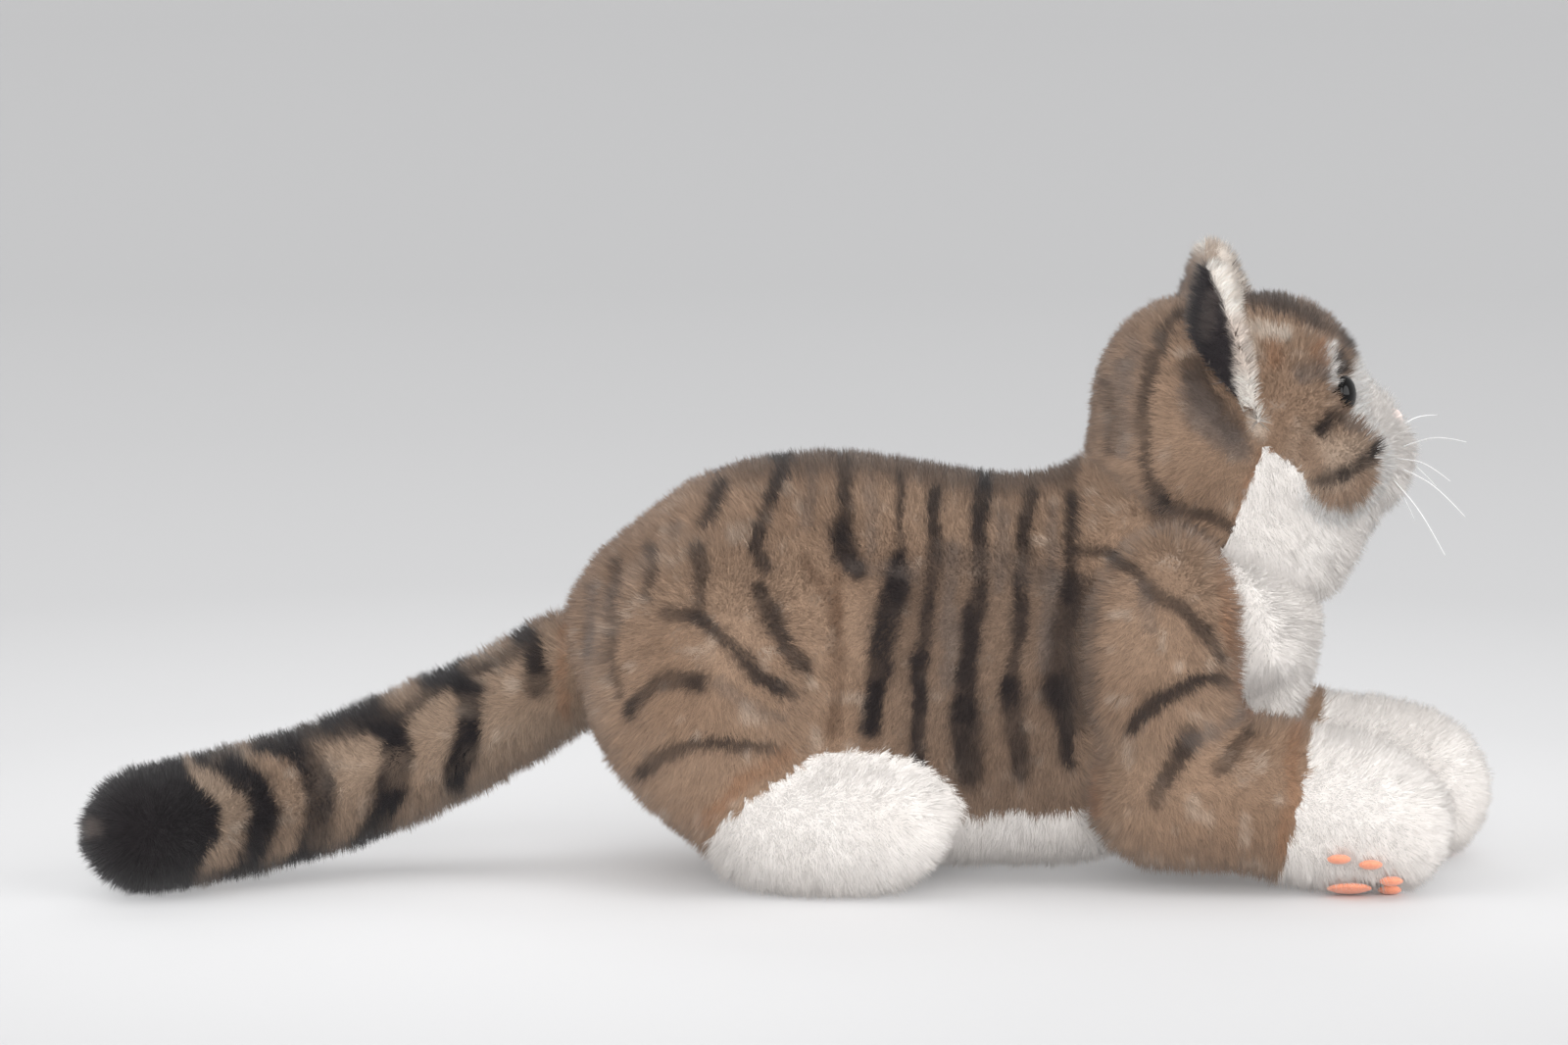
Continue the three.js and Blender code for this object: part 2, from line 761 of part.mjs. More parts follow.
const throatPart = throatRegion(0).subtract(cheeksForm(clearance, 12));
const throatHole = throatRegion(clearance).subtract(cheeksForm(0, 12));
const muzzleSkin = muzzleForm(0);
const muzzleBehind = headForm(clearance);

// Safety eye, drawn along +Y: a glossy dome on a flat back, with a stem that passes through the cover
function eyeProfile(grow) {
  const dome = [];
  for (let i = 0; i <= 5; i += 1) {
    const angle = (Math.PI / 2) * (i / 5);
    const radius = (eyeDiameter / 2 + grow) * Math.cos(angle);
    dome.push(new THREE.Vector2(Math.max(radius, 0), (eyeDomeHeight + grow) * Math.sin(angle)));
  }
  dome[5].x = 0;
  const stem = eyeStemDiameter / 2 + grow;
  return [
    new THREE.Vector2(0, -eyeStemLength - grow),
    new THREE.Vector2(stem, -eyeStemLength - grow),
    new THREE.Vector2(stem, -grow),
    new THREE.Vector2(eyeDiameter / 2 + grow, -grow),
    ...dome,
  ];
}

function washerProfile(grow) {
  const bore = eyeStemDiameter / 2 + clearance - grow;
  const rim = eyeWasherDiameter / 2 + grow;
  const backing = coverWall - eyeSink + clearance;
  const back = -backing - eyeWasherThickness - grow;
  const front = -backing + grow;
  return [
    new THREE.Vector2(bore, back),
    new THREE.Vector2(rim, back),
    new THREE.Vector2(rim, front),
    new THREE.Vector2(bore, front),
    new THREE.Vector2(bore, back),
  ];
}

function eyeWay(side) {
  const forward = vec(1, 0, 0).applyAxisAngle(vec(0, 1, 0), THREE.MathUtils.degToRad(-eyeTilt));
  return forward.applyAxisAngle(vec(0, 0, 1), side * THREE.MathUtils.degToRad(eyeOutward));
}

const skullSkin = stuffedForm(skullShape, 0, headRing);

function eyeSeat(side) {
  const way = vec(eyeForward, side * eyeAcross, eyeUp).normalize();
  const surface = seatOn(skullSkin, headCentre.clone().addScaledVector(way, far), way.clone().negate());
  return surface.addScaledVector(eyeWay(side), -eyeSink);
}

function onEye(profile, side) {
  const geometry = new THREE.LatheGeometry(profile, 12);
  const aim = new THREE.Quaternion().setFromUnitVectors(vec(0, 1, 0), eyeWay(side));
  const seat = eyeSeat(side);
  return solid(geometry.applyQuaternion(aim).translate(seat.x, seat.y, seat.z));
}

let headCover = headShell.subtract(throatHole);
let headStuffing = skullAndNeck(-innerGap, coreRing, 12).subtract(belowNeck);

for (const [word, side] of sides) {
  const washerSpace = washerProfile(clearance);
  washerSpace[0].x = 0;
  washerSpace[3].x = 0;
  washerSpace[4].x = 0;
  const room = onEye(eyeProfile(clearance), side);
  headCover = headCover.subtract(room).subtract(onEye(washerSpace, side));
  headStuffing = headStuffing.subtract(room).subtract(onEye(washerSpace, side));
  addPiece("head", `eye_${word}`, onEye(eyeProfile(0), side), plastic(blackPlastic, 0.06));
  addPiece("head", `eye_washer_${word}`, onEye(washerProfile(0), side), plastic(paleNylon, 0.4));
}
addPiece("head", "head_cover", headCover, fabric(tabby));
addPiece("head", "throat_panel", headShell.intersect(throatPart), fabric(white));
addPiece("head", "head_stuffing", headStuffing, fabric(stuffing));
addPiece("head", "muzzle_pad", solid(muzzleSkin).subtract(muzzleBehind), fabric(white));

// Nose, stitched mouth and whiskers, each placed by its yaw and pitch from the muzzle's centre
function muzzlePoint(yaw, pitch, lift) {
  const way = vec(1, 0, 0).applyAxisAngle(vec(0, 1, 0), THREE.MathUtils.degToRad(-pitch));
  way.applyAxisAngle(vec(0, 0, 1), THREE.MathUtils.degToRad(yaw));
  const surface = seatOn(muzzleSkin, muzzleCentre.clone().addScaledVector(way, far), way.clone().negate());
  return surface.addScaledVector(way, lift);
}

function stitch(places) {
  const lift = stitchDiameter / 2 + clearance;
  const path = new THREE.CatmullRomCurve3(places.map(([yaw, pitch]) => muzzlePoint(yaw, pitch, lift)));
  const thread = new THREE.Shape().absarc(0, 0, stitchDiameter / 2, 0, 2 * Math.PI);
  const steps = 2 * (places.length - 1);
  const options = { steps, curveSegments: 3, extrudePath: path, bevelEnabled: false };
  return solid(new THREE.ExtrudeGeometry(thread, options));
}

const noseSeat = muzzlePoint(0, nosePitch, 0);
const nose = solid(lobe(noseSeat, noseDepth / 2, noseWidth / 2, noseHeight / 2, 0, 10, 6));
const lip = stitch([[-34, -20], [-24, -24], [-12, -19], [0, -8], [12, -19], [24, -24], [34, -20]]);
const philtrum = stitch([[0, 14], [0, 3], [0, -8.5]]);

addPiece("head", "nose", nose.subtract(solid(muzzleForm(clearance))), fabric(rosePink));
addPiece("head", "mouth_stitch", lip.add(philtrum), fabric(greyThread));

for (const [word, side] of sides) {
  for (let i = 0; i < whiskersPerSide; i += 1) {
    const spread = i / (whiskersPerSide - 1) - 0.5;
    const pitch = -4 - 24 * spread;
    const start = muzzlePoint(side * (whiskerYaw + 8 * (i % 2)), pitch, clearance);
    const way = start.clone().sub(muzzleCentre).normalize();
    const droop = whiskerDroop + 16 * spread;
    const end = start.clone().addScaledVector(way, whiskerLength).add(vec(0, 0, -droop));
    const thick = (share) => THREE.MathUtils.lerp(whiskerRootDiameter, whiskerTipDiameter, share) / 2;
    const stations = [0, 0.5, 1].map((share) => {
      const p = start.clone().lerp(end, share).add(vec(0, 0, 12 * share * (1 - share)));
      return [share, p.x, p.y, p.z, thick(share), thick(share), thick(share)];
    });
    const shape = { stations, startDome: 0.5, endDome: 0.5, rings: 6 };
    addPiece("head", `whisker_${word}_${i + 1}`, stuffedForm(shape, 0, 4), plastic(paleNylon, 0.35));
  }
}

// Ears: cupped plates, open to the front, each a dark-backed cover with a pale lining
function earSurface(side, inset) {
  const tipHalf = vec(0, (side * earTipWidth) / 2, 0);
  const tip = earPoint(earTip, side);
  const innerBase = earPoint(earInnerBase, side);
  const outerBase = earPoint(earOuterBase, side);
  return (s, t) => {
    const inner = innerBase.clone().lerp(tip.clone().sub(tipHalf), t);
    const outer = outerBase.clone().lerp(tip.clone().add(tipHalf), t);
    const bow = 4 * t * (1 - t);
    outer.add(vec(0, side * 3 * bow, 0));
    inner.add(vec(0, -side * 1.5 * bow, 1.5 * bow));
    const across = s * (1 - inset);
    const depth = earCup * (1 - 0.8 * Math.max(t, 0)) * (1 - across * across);
    return inner.lerp(outer, (across + 1) / 2).add(vec(-depth, 0, 0));
  };
}

function curvedPlate(surface, near, distant, tipShare, columns, rows) {
  const points = [];
  const front = (offset, s, t) => {
    const p = surface(s, t);
    const alongS = surface(s + 0.01, t).sub(surface(s - 0.01, t));
    const alongT = surface(s, t + 0.01).sub(surface(s, t - 0.01));
    const normal = alongS.cross(alongT).normalize();
    return p.addScaledVector(normal, normal.x < 0 ? -offset : offset);
  };
  const outline = (s, t) => s * Math.sqrt(1 - 0.75 * Math.max(t / tipShare, 0) ** 6);
  for (const offset of [near, distant]) {
    for (let j = 0; j <= rows; j += 1) {
      const t = THREE.MathUtils.lerp(-earRootDepth, tipShare, j / rows);
      for (let i = 0; i <= columns; i += 1) {
        points.push(front(offset, outline((2 * i) / columns - 1, t), t));
      }
    }
  }
  const width = columns + 1;
  const layer = width * (rows + 1);
  const at = (l, i, j) => l * layer + j * width + i;
  const triangles = [];
  const quad = (a, b, c, d) => triangles.push([a, b, c], [a, c, d]);
  for (let j = 0; j < rows; j += 1) {
    for (let i = 0; i < columns; i += 1) {
      quad(at(0, i, j), at(0, i, j + 1), at(0, i + 1, j + 1), at(0, i + 1, j));
      quad(at(1, i, j), at(1, i + 1, j), at(1, i + 1, j + 1), at(1, i, j + 1));
    }
    quad(at(0, 0, j), at(1, 0, j), at(1, 0, j + 1), at(0, 0, j + 1));
    quad(at(0, columns, j), at(0, columns, j + 1), at(1, columns, j + 1), at(1, columns, j));
  }
  for (let i = 0; i < columns; i += 1) {
    quad(at(0, i, 0), at(0, i + 1, 0), at(1, i + 1, 0), at(1, i, 0));
    quad(at(0, i, rows), at(1, i, rows), at(1, i + 1, rows), at(0, i + 1, rows));
  }
  return closedGeometry(points, triangles);
}

for (const [word, side] of sides) {
  const head = geometryOf(headForm(clearance));
  const liningFace = earLiningGap + earLiningThickness;
  const back = curvedPlate(earSurface(side, 0), -earCoverThickness, 0, 1, 7, 6);
  const front = curvedPlate(earSurface(side, 0.1), earLiningGap, liningFace, 0.93, 6, 5);
  let cover = solid(turned(back, earPivot(side), vec(0, 0, 1), earTurn(side)));
  let lining = solid(turned(front, earPivot(side), vec(0, 0, 1), earTurn(side)));
  for (const fold of [-earFoldForward, -earFoldForward / 2, 0, earFoldBack]) {
    const beside = solid(turned(head, earPivot(side), earFoldAxis(side), fold));
    cover = cover.subtract(beside);
    lining = lining.subtract(beside);
  }
  addPiece(`ear_${word}`, `ear_cover_${word}`, cover, fabric(darkTabby));
  addPiece(`ear_${word}`, `ear_lining_${word}`, lining, fabric(white));
}

// Forelegs: a tabby sleeve and a white paw round one mass of stuffing, with the pads set into the sole
const wristLean = vec(1, 0, -0.22);
const aboveForearm = beyond(vec(0, 0, forearmTop - 8), vec(0, 0, 1));

for (const [word, side] of sides) {
  const reach = side > 0 ? leftLegReach : 0;
  const wrist = vec(wristX + reach * 0.4, 0, 30);
  const paw = beyond(wrist.clone().addScaledVector(wristLean, clearance / 2), wristLean);
  const wristBack = wristLean.clone().negate();
  const sleeve = beyond(wrist.clone().addScaledVector(wristBack, clearance / 2), wristBack);
  const inside = beyond(vec(0, side * armInnerY, 0), vec(0, -side, 0)).intersect(aboveForearm);
  const outer = forelegForm(side, 0, limbRing, 16).subtract(belowGround).subtract(inside);
  const shell = outer.subtract(forelegForm(side, -coverWall));
  const body = `foreleg_${word}`;
  const skin = stuffedForm(forearmShape(side), 0, limbRing);
  const toeX = elbowX + forearmLength + reach;
  let pawShell = shell.intersect(paw);
  const soleX = toeX - soleSetBack;
  const pads = [["paw_pad", vec(soleX, 0, 0), pawPadLength, pawPadWidth]];
  for (let i = 0; i < toePads; i += 1) {
    const heading = THREE.MathUtils.degToRad(soleHeading + (i - (toePads - 1) / 2) * toeStep);
    const place = vec(soleX + toeRing * Math.cos(heading), side * toeRing * Math.sin(heading), 0);
    pads.push([`toe_pad_${i + 1}`, place, toePadLength, toePadWidth]);
  }
  for (const [name, place, length, width] of pads) {
    const turn = side * soleTurn;
    const down = vec(0, 0, -1).applyAxisAngle(vec(1, 0, 0), THREE.MathUtils.degToRad(turn));
    const over = vec(0, 1, 0).applyAxisAngle(vec(1, 0, 0), THREE.MathUtils.degToRad(turn));
    const aim = vec(place.x, side * pawY, pawHeight * 0.42).addScaledVector(over, place.y);
    const seat = seatOn(skin, aim.clone().addScaledVector(down, far), down.clone().negate());
    const centre = seat.addScaledVector(down, padProud - padThickness / 2);
    const pad = (grow) => {
      const form = lobe(vec(0, 0, 0), length / 2, width / 2, padThickness / 2, grow, 8, 5);
      return form.rotateX(THREE.MathUtils.degToRad(turn)).translate(centre.x, centre.y, centre.z);
    };
    pawShell = pawShell.subtract(solid(pad(clearance)));
    addPiece(body, `${name}_${word}`, solid(pad(0)).subtract(belowGround), fabric(salmon));
  }
  addPiece(body, `foreleg_cover_${word}`, shell.intersect(sleeve), fabric(tabby));
  addPiece(body, `forepaw_cover_${word}`, pawShell, fabric(white));
  addPiece(body, `foreleg_stuffing_${word}`, forelegForm(side, -innerGap), fabric(stuffing));
}

// Tail: a ringed cover round its stuffing, open at the root over the knot that anchors it
const tailHollow = solid(tailForm(-coverWall));
const knotRoom = new THREE.SphereGeometry(tailKnotRadius + clearance, 12, 8);
knotRoom.translate(tailPivot.x, tailPivot.y, tailPivot.z);
const mouthRadius = tailKnotRadius * 0.8;
const knotMouth = new THREE.CylinderGeometry(mouthRadius, mouthRadius, tailRootRadius * 2, 14);
knotMouth.translate(0, -tailRootRadius, 0);
knotMouth.applyQuaternion(new THREE.Quaternion().setFromUnitVectors(vec(0, -1, 0), tailMouthWay));
knotMouth.translate(tailPivot.x, tailPivot.y, tailPivot.z);
const tailOuter = solid(tailForm(0, limbRing, tailShape.rings));
const tailShell = tailOuter.subtract(tailHollow).subtract(solid(knotMouth));
const tailCore = solid(tailForm(-innerGap)).subtract(solid(knotRoom)).subtract(solid(knotMouth));
const knot = new THREE.SphereGeometry(tailKnotRadius, 12, 8);
knot.translate(tailPivot.x, tailPivot.y, tailPivot.z);

addPiece("tail", "tail_cover", tailShell.subtract(belowGround), fabric(tabby));
addPiece("tail", "tail_stuffing", tailCore, fabric(stuffing));
addPiece("tail_root", "tail_root_knot", knot, fabric(greyThread));

// The origin sits at the middle of the cat's footprint
const extent = new THREE.Box3().setFromObject(cat, true);
const footprintMiddle = extent.getCenter(vec(0, 0, 0)).setZ(extent.min.z);
for (const group of groups.values()) {
  group.position.sub(footprintMiddle);
}

export default cat;
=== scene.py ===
import math
from dataclasses import dataclass

import bpy
import numpy as np
from mathutils import Matrix, Vector
from mathutils.bvhtree import BVHTree


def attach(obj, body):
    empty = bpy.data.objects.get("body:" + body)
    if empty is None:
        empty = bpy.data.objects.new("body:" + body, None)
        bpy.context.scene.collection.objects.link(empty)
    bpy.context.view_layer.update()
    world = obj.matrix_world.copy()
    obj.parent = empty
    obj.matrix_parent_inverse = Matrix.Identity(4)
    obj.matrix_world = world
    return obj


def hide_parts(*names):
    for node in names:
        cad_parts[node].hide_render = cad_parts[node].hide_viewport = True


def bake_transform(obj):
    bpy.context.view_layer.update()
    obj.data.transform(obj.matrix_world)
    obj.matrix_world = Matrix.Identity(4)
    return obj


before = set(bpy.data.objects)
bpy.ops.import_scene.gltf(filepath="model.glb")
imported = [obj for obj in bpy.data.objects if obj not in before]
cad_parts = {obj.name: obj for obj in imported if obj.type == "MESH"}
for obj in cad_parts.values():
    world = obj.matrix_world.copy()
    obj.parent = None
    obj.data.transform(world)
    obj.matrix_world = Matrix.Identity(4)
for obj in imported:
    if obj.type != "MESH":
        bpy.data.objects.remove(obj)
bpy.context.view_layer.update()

MM = 0.001  # sizes below are in millimetres unless they say metres
rng = np.random.default_rng(20261126)


# ---- colours, written as the eye sees them ----
def linear(r, g, b):
    c = np.array([r, g, b], float) / 255
    return np.where(c <= 0.04045, c / 12.92, ((c + 0.055) / 1.055) ** 2.4)


TAN = linear(165, 137, 115)
BROWN = linear(130, 103, 83)
DARK = linear(40, 34, 34)
BLACK = linear(34, 30, 32)
GREY = linear(108, 97, 91)
ORANGE = linear(154, 104, 70)
CREAM = linear(226, 211, 196)
WHITE = linear(246, 240, 235)
EAR_DARK = linear(42, 36, 39)
EAR_PALE = linear(203, 196, 194)
PAD = linear(232, 150, 118)
NOSE = linear(243, 220, 212)
FLANK = linear(70, 60, 55)
FAR_EAR = linear(134, 113, 98)
EAR_CREAM = linear(240, 228, 216)
EAR_RIM_COLOUR = linear(240, 230, 220)
TAIL_TAN = linear(164, 142, 123)
CHEEK_TAN = linear(190, 168, 149)
SHADED_WHITE = linear(226, 217, 208)
# Colour of the painted shade in the crease in front of the thigh.
FOLD_SHADE_BROWN = linear(96, 72, 56)

# ---- the photograph's viewpoint ----
TILT = math.radians(7)
TARGET = np.array([-5.258, 0.0, 127.3])
FORWARD = np.array([0, math.cos(TILT), -math.sin(TILT)])
UPWARD = np.array([0, math.sin(TILT), math.cos(TILT)])
EYE = TARGET - 2100 * FORWARD
IMAGE_WIDTH, IMAGE_HEIGHT = 1600, 1066
LENS, SENSOR = 135, 36
PIXELS = IMAGE_WIDTH * LENS / SENSOR


def side_view(p):
    """Where a point of either flank shows in the photograph's view, in pixels."""
    q = p.copy()
    q[:, 1] = -np.abs(q[:, 1])
    q = q - EYE
    depth = q @ FORWARD
    across = IMAGE_WIDTH / 2 + PIXELS * q[:, 0] / depth
    return np.stack([across, IMAGE_HEIGHT / 2 - PIXELS * (q @ UPWARD) / depth], 1)


# ---- smooth value noise on a lattice, for pile clumps and colour drift ----
GRID = 32
lattice = rng.random((GRID, GRID, GRID, 4)).astype(np.float32)


def drift(p, cell, channel=0):
    """Smooth noise from -1 to 1 whose features are one cell wide."""
    q = p / cell
    i = np.floor(q).astype(int)
    f = (q - i).astype(np.float32)
    f = f * f * (3 - 2 * f)
    total = np.zeros(len(p), np.float32)
    for dx in (0, 1):
        for dy in (0, 1):
            for dz in (0, 1):
                corner = np.array([dx, dy, dz])
                x, y, z = np.where(corner, f, 1 - f).T
                at = (i + corner) % GRID
                total += x * y * z * lattice[at[:, 0], at[:, 1], at[:, 2], channel]
    return total * 2 - 1


def drifts(p, cell, channels=(0, 1, 2)):
    return np.stack([drift(p, cell, k) for k in channels], 1)


def unit(v):
    return v / np.maximum(np.linalg.norm(v, axis=-1, keepdims=True), 1e-9)


def ramp(x, low, high):
    """From 0 at low to 1 at high, with soft ends."""
    t = np.clip((x - low) / (high - low), 0, 1)
    return t * t * (3 - 2 * t)


# ---- markings, and a few marks of painted shade, drawn as strokes in the side view: (points px, width px, colour, strength) ----
SHOULDER_ARC = [
    (1098, 561), (1127, 564), (1156, 579), (1180, 608), (1206, 620), (1230, 646), (1245, 673),
]
# Painted shade behind the shoulder, where the foreleg meets the torso.
SHOULDER_SHADE = [(1106, 600), (1104, 660), (1100, 740)]
# Painted shade in the crease along the front of the thigh.
THIGH_FOLD_SHADE = [(820, 570), (848, 610), (856, 676), (850, 747)]
BIB_SIDE = [(1253, 555), (1256, 638), (1268, 696), (1277, 726)]
NAPE_LINE = [(1129, 388), (1133, 460)]
EAR_TO_JAW = [(1209, 315), (1188, 338), (1174, 367), (1166, 408), (1164, 455), (1171, 491), (1185, 514)]
JAW_LINE = [(1185, 514), (1206, 523), (1235, 529), (1256, 538)]
RUMP_STROKES = [
    ([(603, 600), (599, 668)], 8, GREY, 0.7),
    ([(629, 572), (621, 626), (621, 676), (631, 711)], 8, DARK, 0.6),
    ([(664, 560), (656, 606)], 10, DARK, 0.7),
]
TORSO_STROKES = [
    *RUMP_STROKES,
    ([(733, 492), (721, 526), (711, 556)], 14, DARK, 0.9),
    ([(711, 556), (716, 583), (714, 612)], 8, DARK, 0.7),
    ([(690, 535), (684, 575)], 8, GREY, 0.5),
    ([(797, 466), (796, 483), (778, 518), (771, 554), (781, 576)], 15, DARK, 0.9),
    ([(828, 480), (822, 530)], 9, GREY, 0.45),
    ([(863, 474), (860, 526), (859, 547)], 13, DARK, 0.9),
    ([(857, 535), (862, 565), (874, 580)], 27, DARK, 0.95),
    # Painted shade along the thigh's front edge.
    ([(853, 583), (854, 647)], 8, BROWN, 0.8),
    ([(917, 486), (917, 533), (920, 561)], 8, DARK, 0.8),
    ([(916, 570), (906, 620), (897, 670), (891, 715), (887, 742)], 24, DARK, 1.0),
    ([(888, 490), (889, 560)], 9, GREY, 0.45),
    ([(953, 500), (952, 576), (946, 620), (940, 676)], 10, DARK, 0.9),
    ([(940, 676), (936, 726), (937, 785)], 14, DARK, 0.95),
    ([(1003, 490), (999, 540), (1001, 604)], 14, DARK, 0.95),
    ([(1001, 600), (990, 640), (984, 690), (983, 730)], 19, DARK, 0.95),
    ([(983, 725), (985, 760), (988, 788)], 25, DARK, 0.9),
    ([(1050, 505), (1040, 583), (1038, 654), (1029, 704)], 11, DARK, 0.9),
    ([(1030, 700), (1037, 747), (1043, 788)], 19, DARK, 0.95),
    ([(1094, 505), (1091, 560), (1090, 610)], 14, DARK, 0.9),
    ([(1092, 600), (1084, 660), (1079, 710)], 29, DARK, 0.9),
    ([(1079, 700), (1086, 745), (1092, 780)], 19, DARK, 0.95),
    ([(1074, 520), (1070, 600), (1064, 680)], 8, GREY, 0.5),
    ([(1024, 520), (1020, 600)], 9, GREY, 0.5),
    ([(970, 560), (966, 700)], 9, GREY, 0.5),
    ([(960, 562), (1000, 574), (1040, 584), (1074, 585)], 20, linear(78, 69, 65), 0.5),
    ([(867, 576), (931, 583)], 13, GREY, 0.4),
    (SHOULDER_ARC, 12, DARK, 0.75),
    (SHOULDER_SHADE, 24, FLANK, 0.6),
    ([(1182, 522), (1190, 545), (1200, 562)], 18, DARK, 0.6),
    (BIB_SIDE, 8, ORANGE, 0.4),
    (NAPE_LINE, 8, DARK, 0.6),
    ([(1143, 395), (1146, 462)], 8, GREY, 0.6),
    ([(1164, 455), (1171, 491), (1185, 514)], 12, DARK, 0.8),
    (JAW_LINE, 9, DARK, 0.75),
    (THIGH_FOLD_SHADE, 12, FOLD_SHADE_BROWN, 0.6),
]
THIGH_STROKES = [
    *RUMP_STROKES,
    ([(711, 556), (716, 583), (714, 612)], 9, DARK, 0.7),
    ([(678, 626), (710, 629), (742, 654), (774, 690), (812, 713)], 12, DARK, 0.9),
    ([(639, 726), (660, 704), (685, 694), (714, 697)], 14, DARK, 0.9),
    ([(653, 790), (674, 772), (703, 761), (746, 761), (789, 765)], 12, DARK, 0.85),
    ([(771, 554), (781, 576)], 14, DARK, 0.85),
    ([(774, 600), (789, 633), (806, 661), (824, 685)], 14, DARK, 0.85),
    ([(717, 840), (760, 797), (803, 771)], 13, ORANGE, 0.4),
    (THIGH_FOLD_SHADE, 12, FOLD_SHADE_BROWN, 0.6),
    ([(735, 700), (765, 722), (800, 735)], 8, GREY, 0.4),
]
FORELEG_STROKES = [
    (SHOULDER_ARC, 12, DARK, 0.75),
    ([(1156, 746), (1177, 723), (1204, 705), (1233, 694), (1252, 696)], 13, DARK, 0.9),
    ([(1180, 818), (1198, 785), (1216, 757)], 17, DARK, 0.85),
    ([(1216, 757), (1245, 748), (1266, 732)], 9, GREY, 0.6),
    ([(1246, 785), (1262, 761), (1275, 745)], 12, DARK, 0.8),
    (SHOULDER_SHADE, 24, FLANK, 0.6),
    ([(1165, 600), (1172, 640)], 12, GREY, 0.45),
    (BIB_SIDE, 9, ORANGE, 0.4),
    ([(1324, 743), (1318, 826), (1306, 873)], 9, ORANGE, 0.35),
    ([(1115, 767), (1112, 800), (1116, 830)], 10, ORANGE, 0.5),
]
TAIL_STROKES = [
    ([(206, 765), (236, 780), (262, 800), (273, 826), (268, 858), (246, 900)], 27, BLACK, 1.0),
    ([(275, 752), (308, 766), (322, 786), (328, 815), (325, 850), (304, 892)], 26, BLACK, 1.0),
    ([(344, 735), (384, 730), (401, 750), (405, 782), (398, 815), (376, 872)], 33, BLACK, 1.0),
    ([(262, 757), (300, 752), (344, 736), (381, 722)], 13, BLACK, 0.85),
    ([(409, 728), (432, 708), (452, 690)], 14, BLACK, 0.9),
    ([(430, 682), (463, 688), (479, 706), (481, 735), (474, 765), (463, 800)], 25, BLACK, 1.0),
    ([(475, 684), (500, 674), (528, 662)], 9, DARK, 0.8),
    ([(528, 640), (540, 655), (545, 680), (547, 700)], 23, BLACK, 0.95),
    # Darker along the tail's underside: partly where the rings join, mostly painted shade.
    ([(205, 897), (260, 890), (330, 876), (390, 856)], 10, DARK, 0.7),
    ([(575, 640), (570, 690), (575, 735)], 10, ORANGE, 0.35),
]
HEAD_STROKES = [
    ([(1262, 300), (1290, 302), (1333, 316), (1356, 331), (1378, 345)], 11, DARK, 0.8),
    ([(1285, 331), (1311, 336)], 9, CREAM, 0.85),
    ([(1350, 354), (1352, 362)], 12, ORANGE, 0.5),
    ([(1300, 352), (1302, 366)], 9, ORANGE, 0.35),
    ([(1331, 378), (1347, 375), (1361, 381)], 14, GREY, 0.85),
    ([(1361, 352), (1366, 368), (1367, 390)], 5, WHITE, 0.9),
    ([(1369, 360), (1374, 374)], 4, DARK, 0.9),
    ([(1377, 373), (1380, 378)], 4, DARK, 0.6),
    ([(1378, 350), (1390, 368)], 4, DARK, 0.8),
    ([(1348, 437), (1358, 428), (1371, 422)], 12, DARK, 0.95),
    ([(1344, 492), (1354, 490), (1370, 486)], 13, DARK, 0.95),
    ([(1370, 486), (1387, 477), (1401, 469), (1411, 453)], 10, DARK, 0.95),
    ([(1350, 512), (1378, 512), (1398, 494)], 14, ORANGE, 0.25),
    ([(1381, 428), (1400, 434)], 12, GREY, 0.7),
    # Painted shade on the back of the cheek.
    ([(1335, 455), (1338, 480)], 14, BROWN, 0.7),
    (EAR_TO_JAW, 11, DARK, 0.75),
    # Painted shadow on the head below and behind the near ear, softened with grey below.
    ([(1214, 372), (1232, 408), (1258, 440)], 26, DARK, 0.8),
    ([(1216, 400), (1236, 434), (1262, 452)], 26, GREY, 0.5),
    ([(1222, 425), (1240, 448), (1262, 458)], 22, GREY, 0.5),
    ([(1276, 330), (1268, 400), (1284, 440)], 9, CREAM, 0.5),
    (NAPE_LINE, 8, DARK, 0.6),
    ([(1143, 372), (1146, 462)], 8, GREY, 0.6),
    ([(1154, 350), (1152, 400)], 8, GREY, 0.5),
    (JAW_LINE, 9, DARK, 0.75),
    ([(1291, 467), (1276, 496), (1265, 530)], 8, ORANGE, 0.4),
]
EAR_STREAK = [(1218, 377), (1240, 401), (1258, 425)]
# A painted sheen: a lighter grey streak on the slate of the ear.
EAR_PAINTED_SHEEN = [(1236, 300), (1228, 340)]

# ---- borders between colours in the same view, px: where along one axis, and where on the other ----
BACK_LINE = (
    [600, 650, 700, 750, 800, 900, 1000, 1095, 1112, 1160],
    [590, 547, 502, 478, 466, 468, 490, 480, 430, 320],
)
BIB_EDGE = (
    [455, 467, 480, 496, 510, 530, 560, 580, 600, 640, 680, 705, 728],
    [1300, 1291, 1283, 1276, 1271, 1264, 1256, 1250, 1252, 1257, 1262, 1268, 1282],
)
CHEEK_EDGE = (
    [1270, 1291, 1318, 1327, 1335, 1355, 1378, 1395, 1410],
    [458, 464, 474, 490, 507, 521, 526, 515, 500],
)
FACE_EDGE = (
    [335, 348, 360, 375, 392, 405, 418, 425, 440, 455, 475, 495, 512, 525],
    [1500, 1400, 1384, 1383, 1376, 1381, 1379, 1394, 1406, 1413, 1412, 1407, 1398, 1382],
)
BIB_TOP = 452
BELLY_EDGE = ([700, 960, 1115, 1200], [842, 826, 822, 826])
BELLY_RISE = 45  # mm above the floor
TAIL_TIP_EDGE = ([760, 785, 822, 854, 900], [182, 190, 228, 227, 200])
TAIL_POLE = (92, 845)
EAR_RIM = ([272, 287, 310, 330, 350, 373, 407, 427], [1234, 1239, 1248, 1253, 1257, 1258, 1261, 1263])


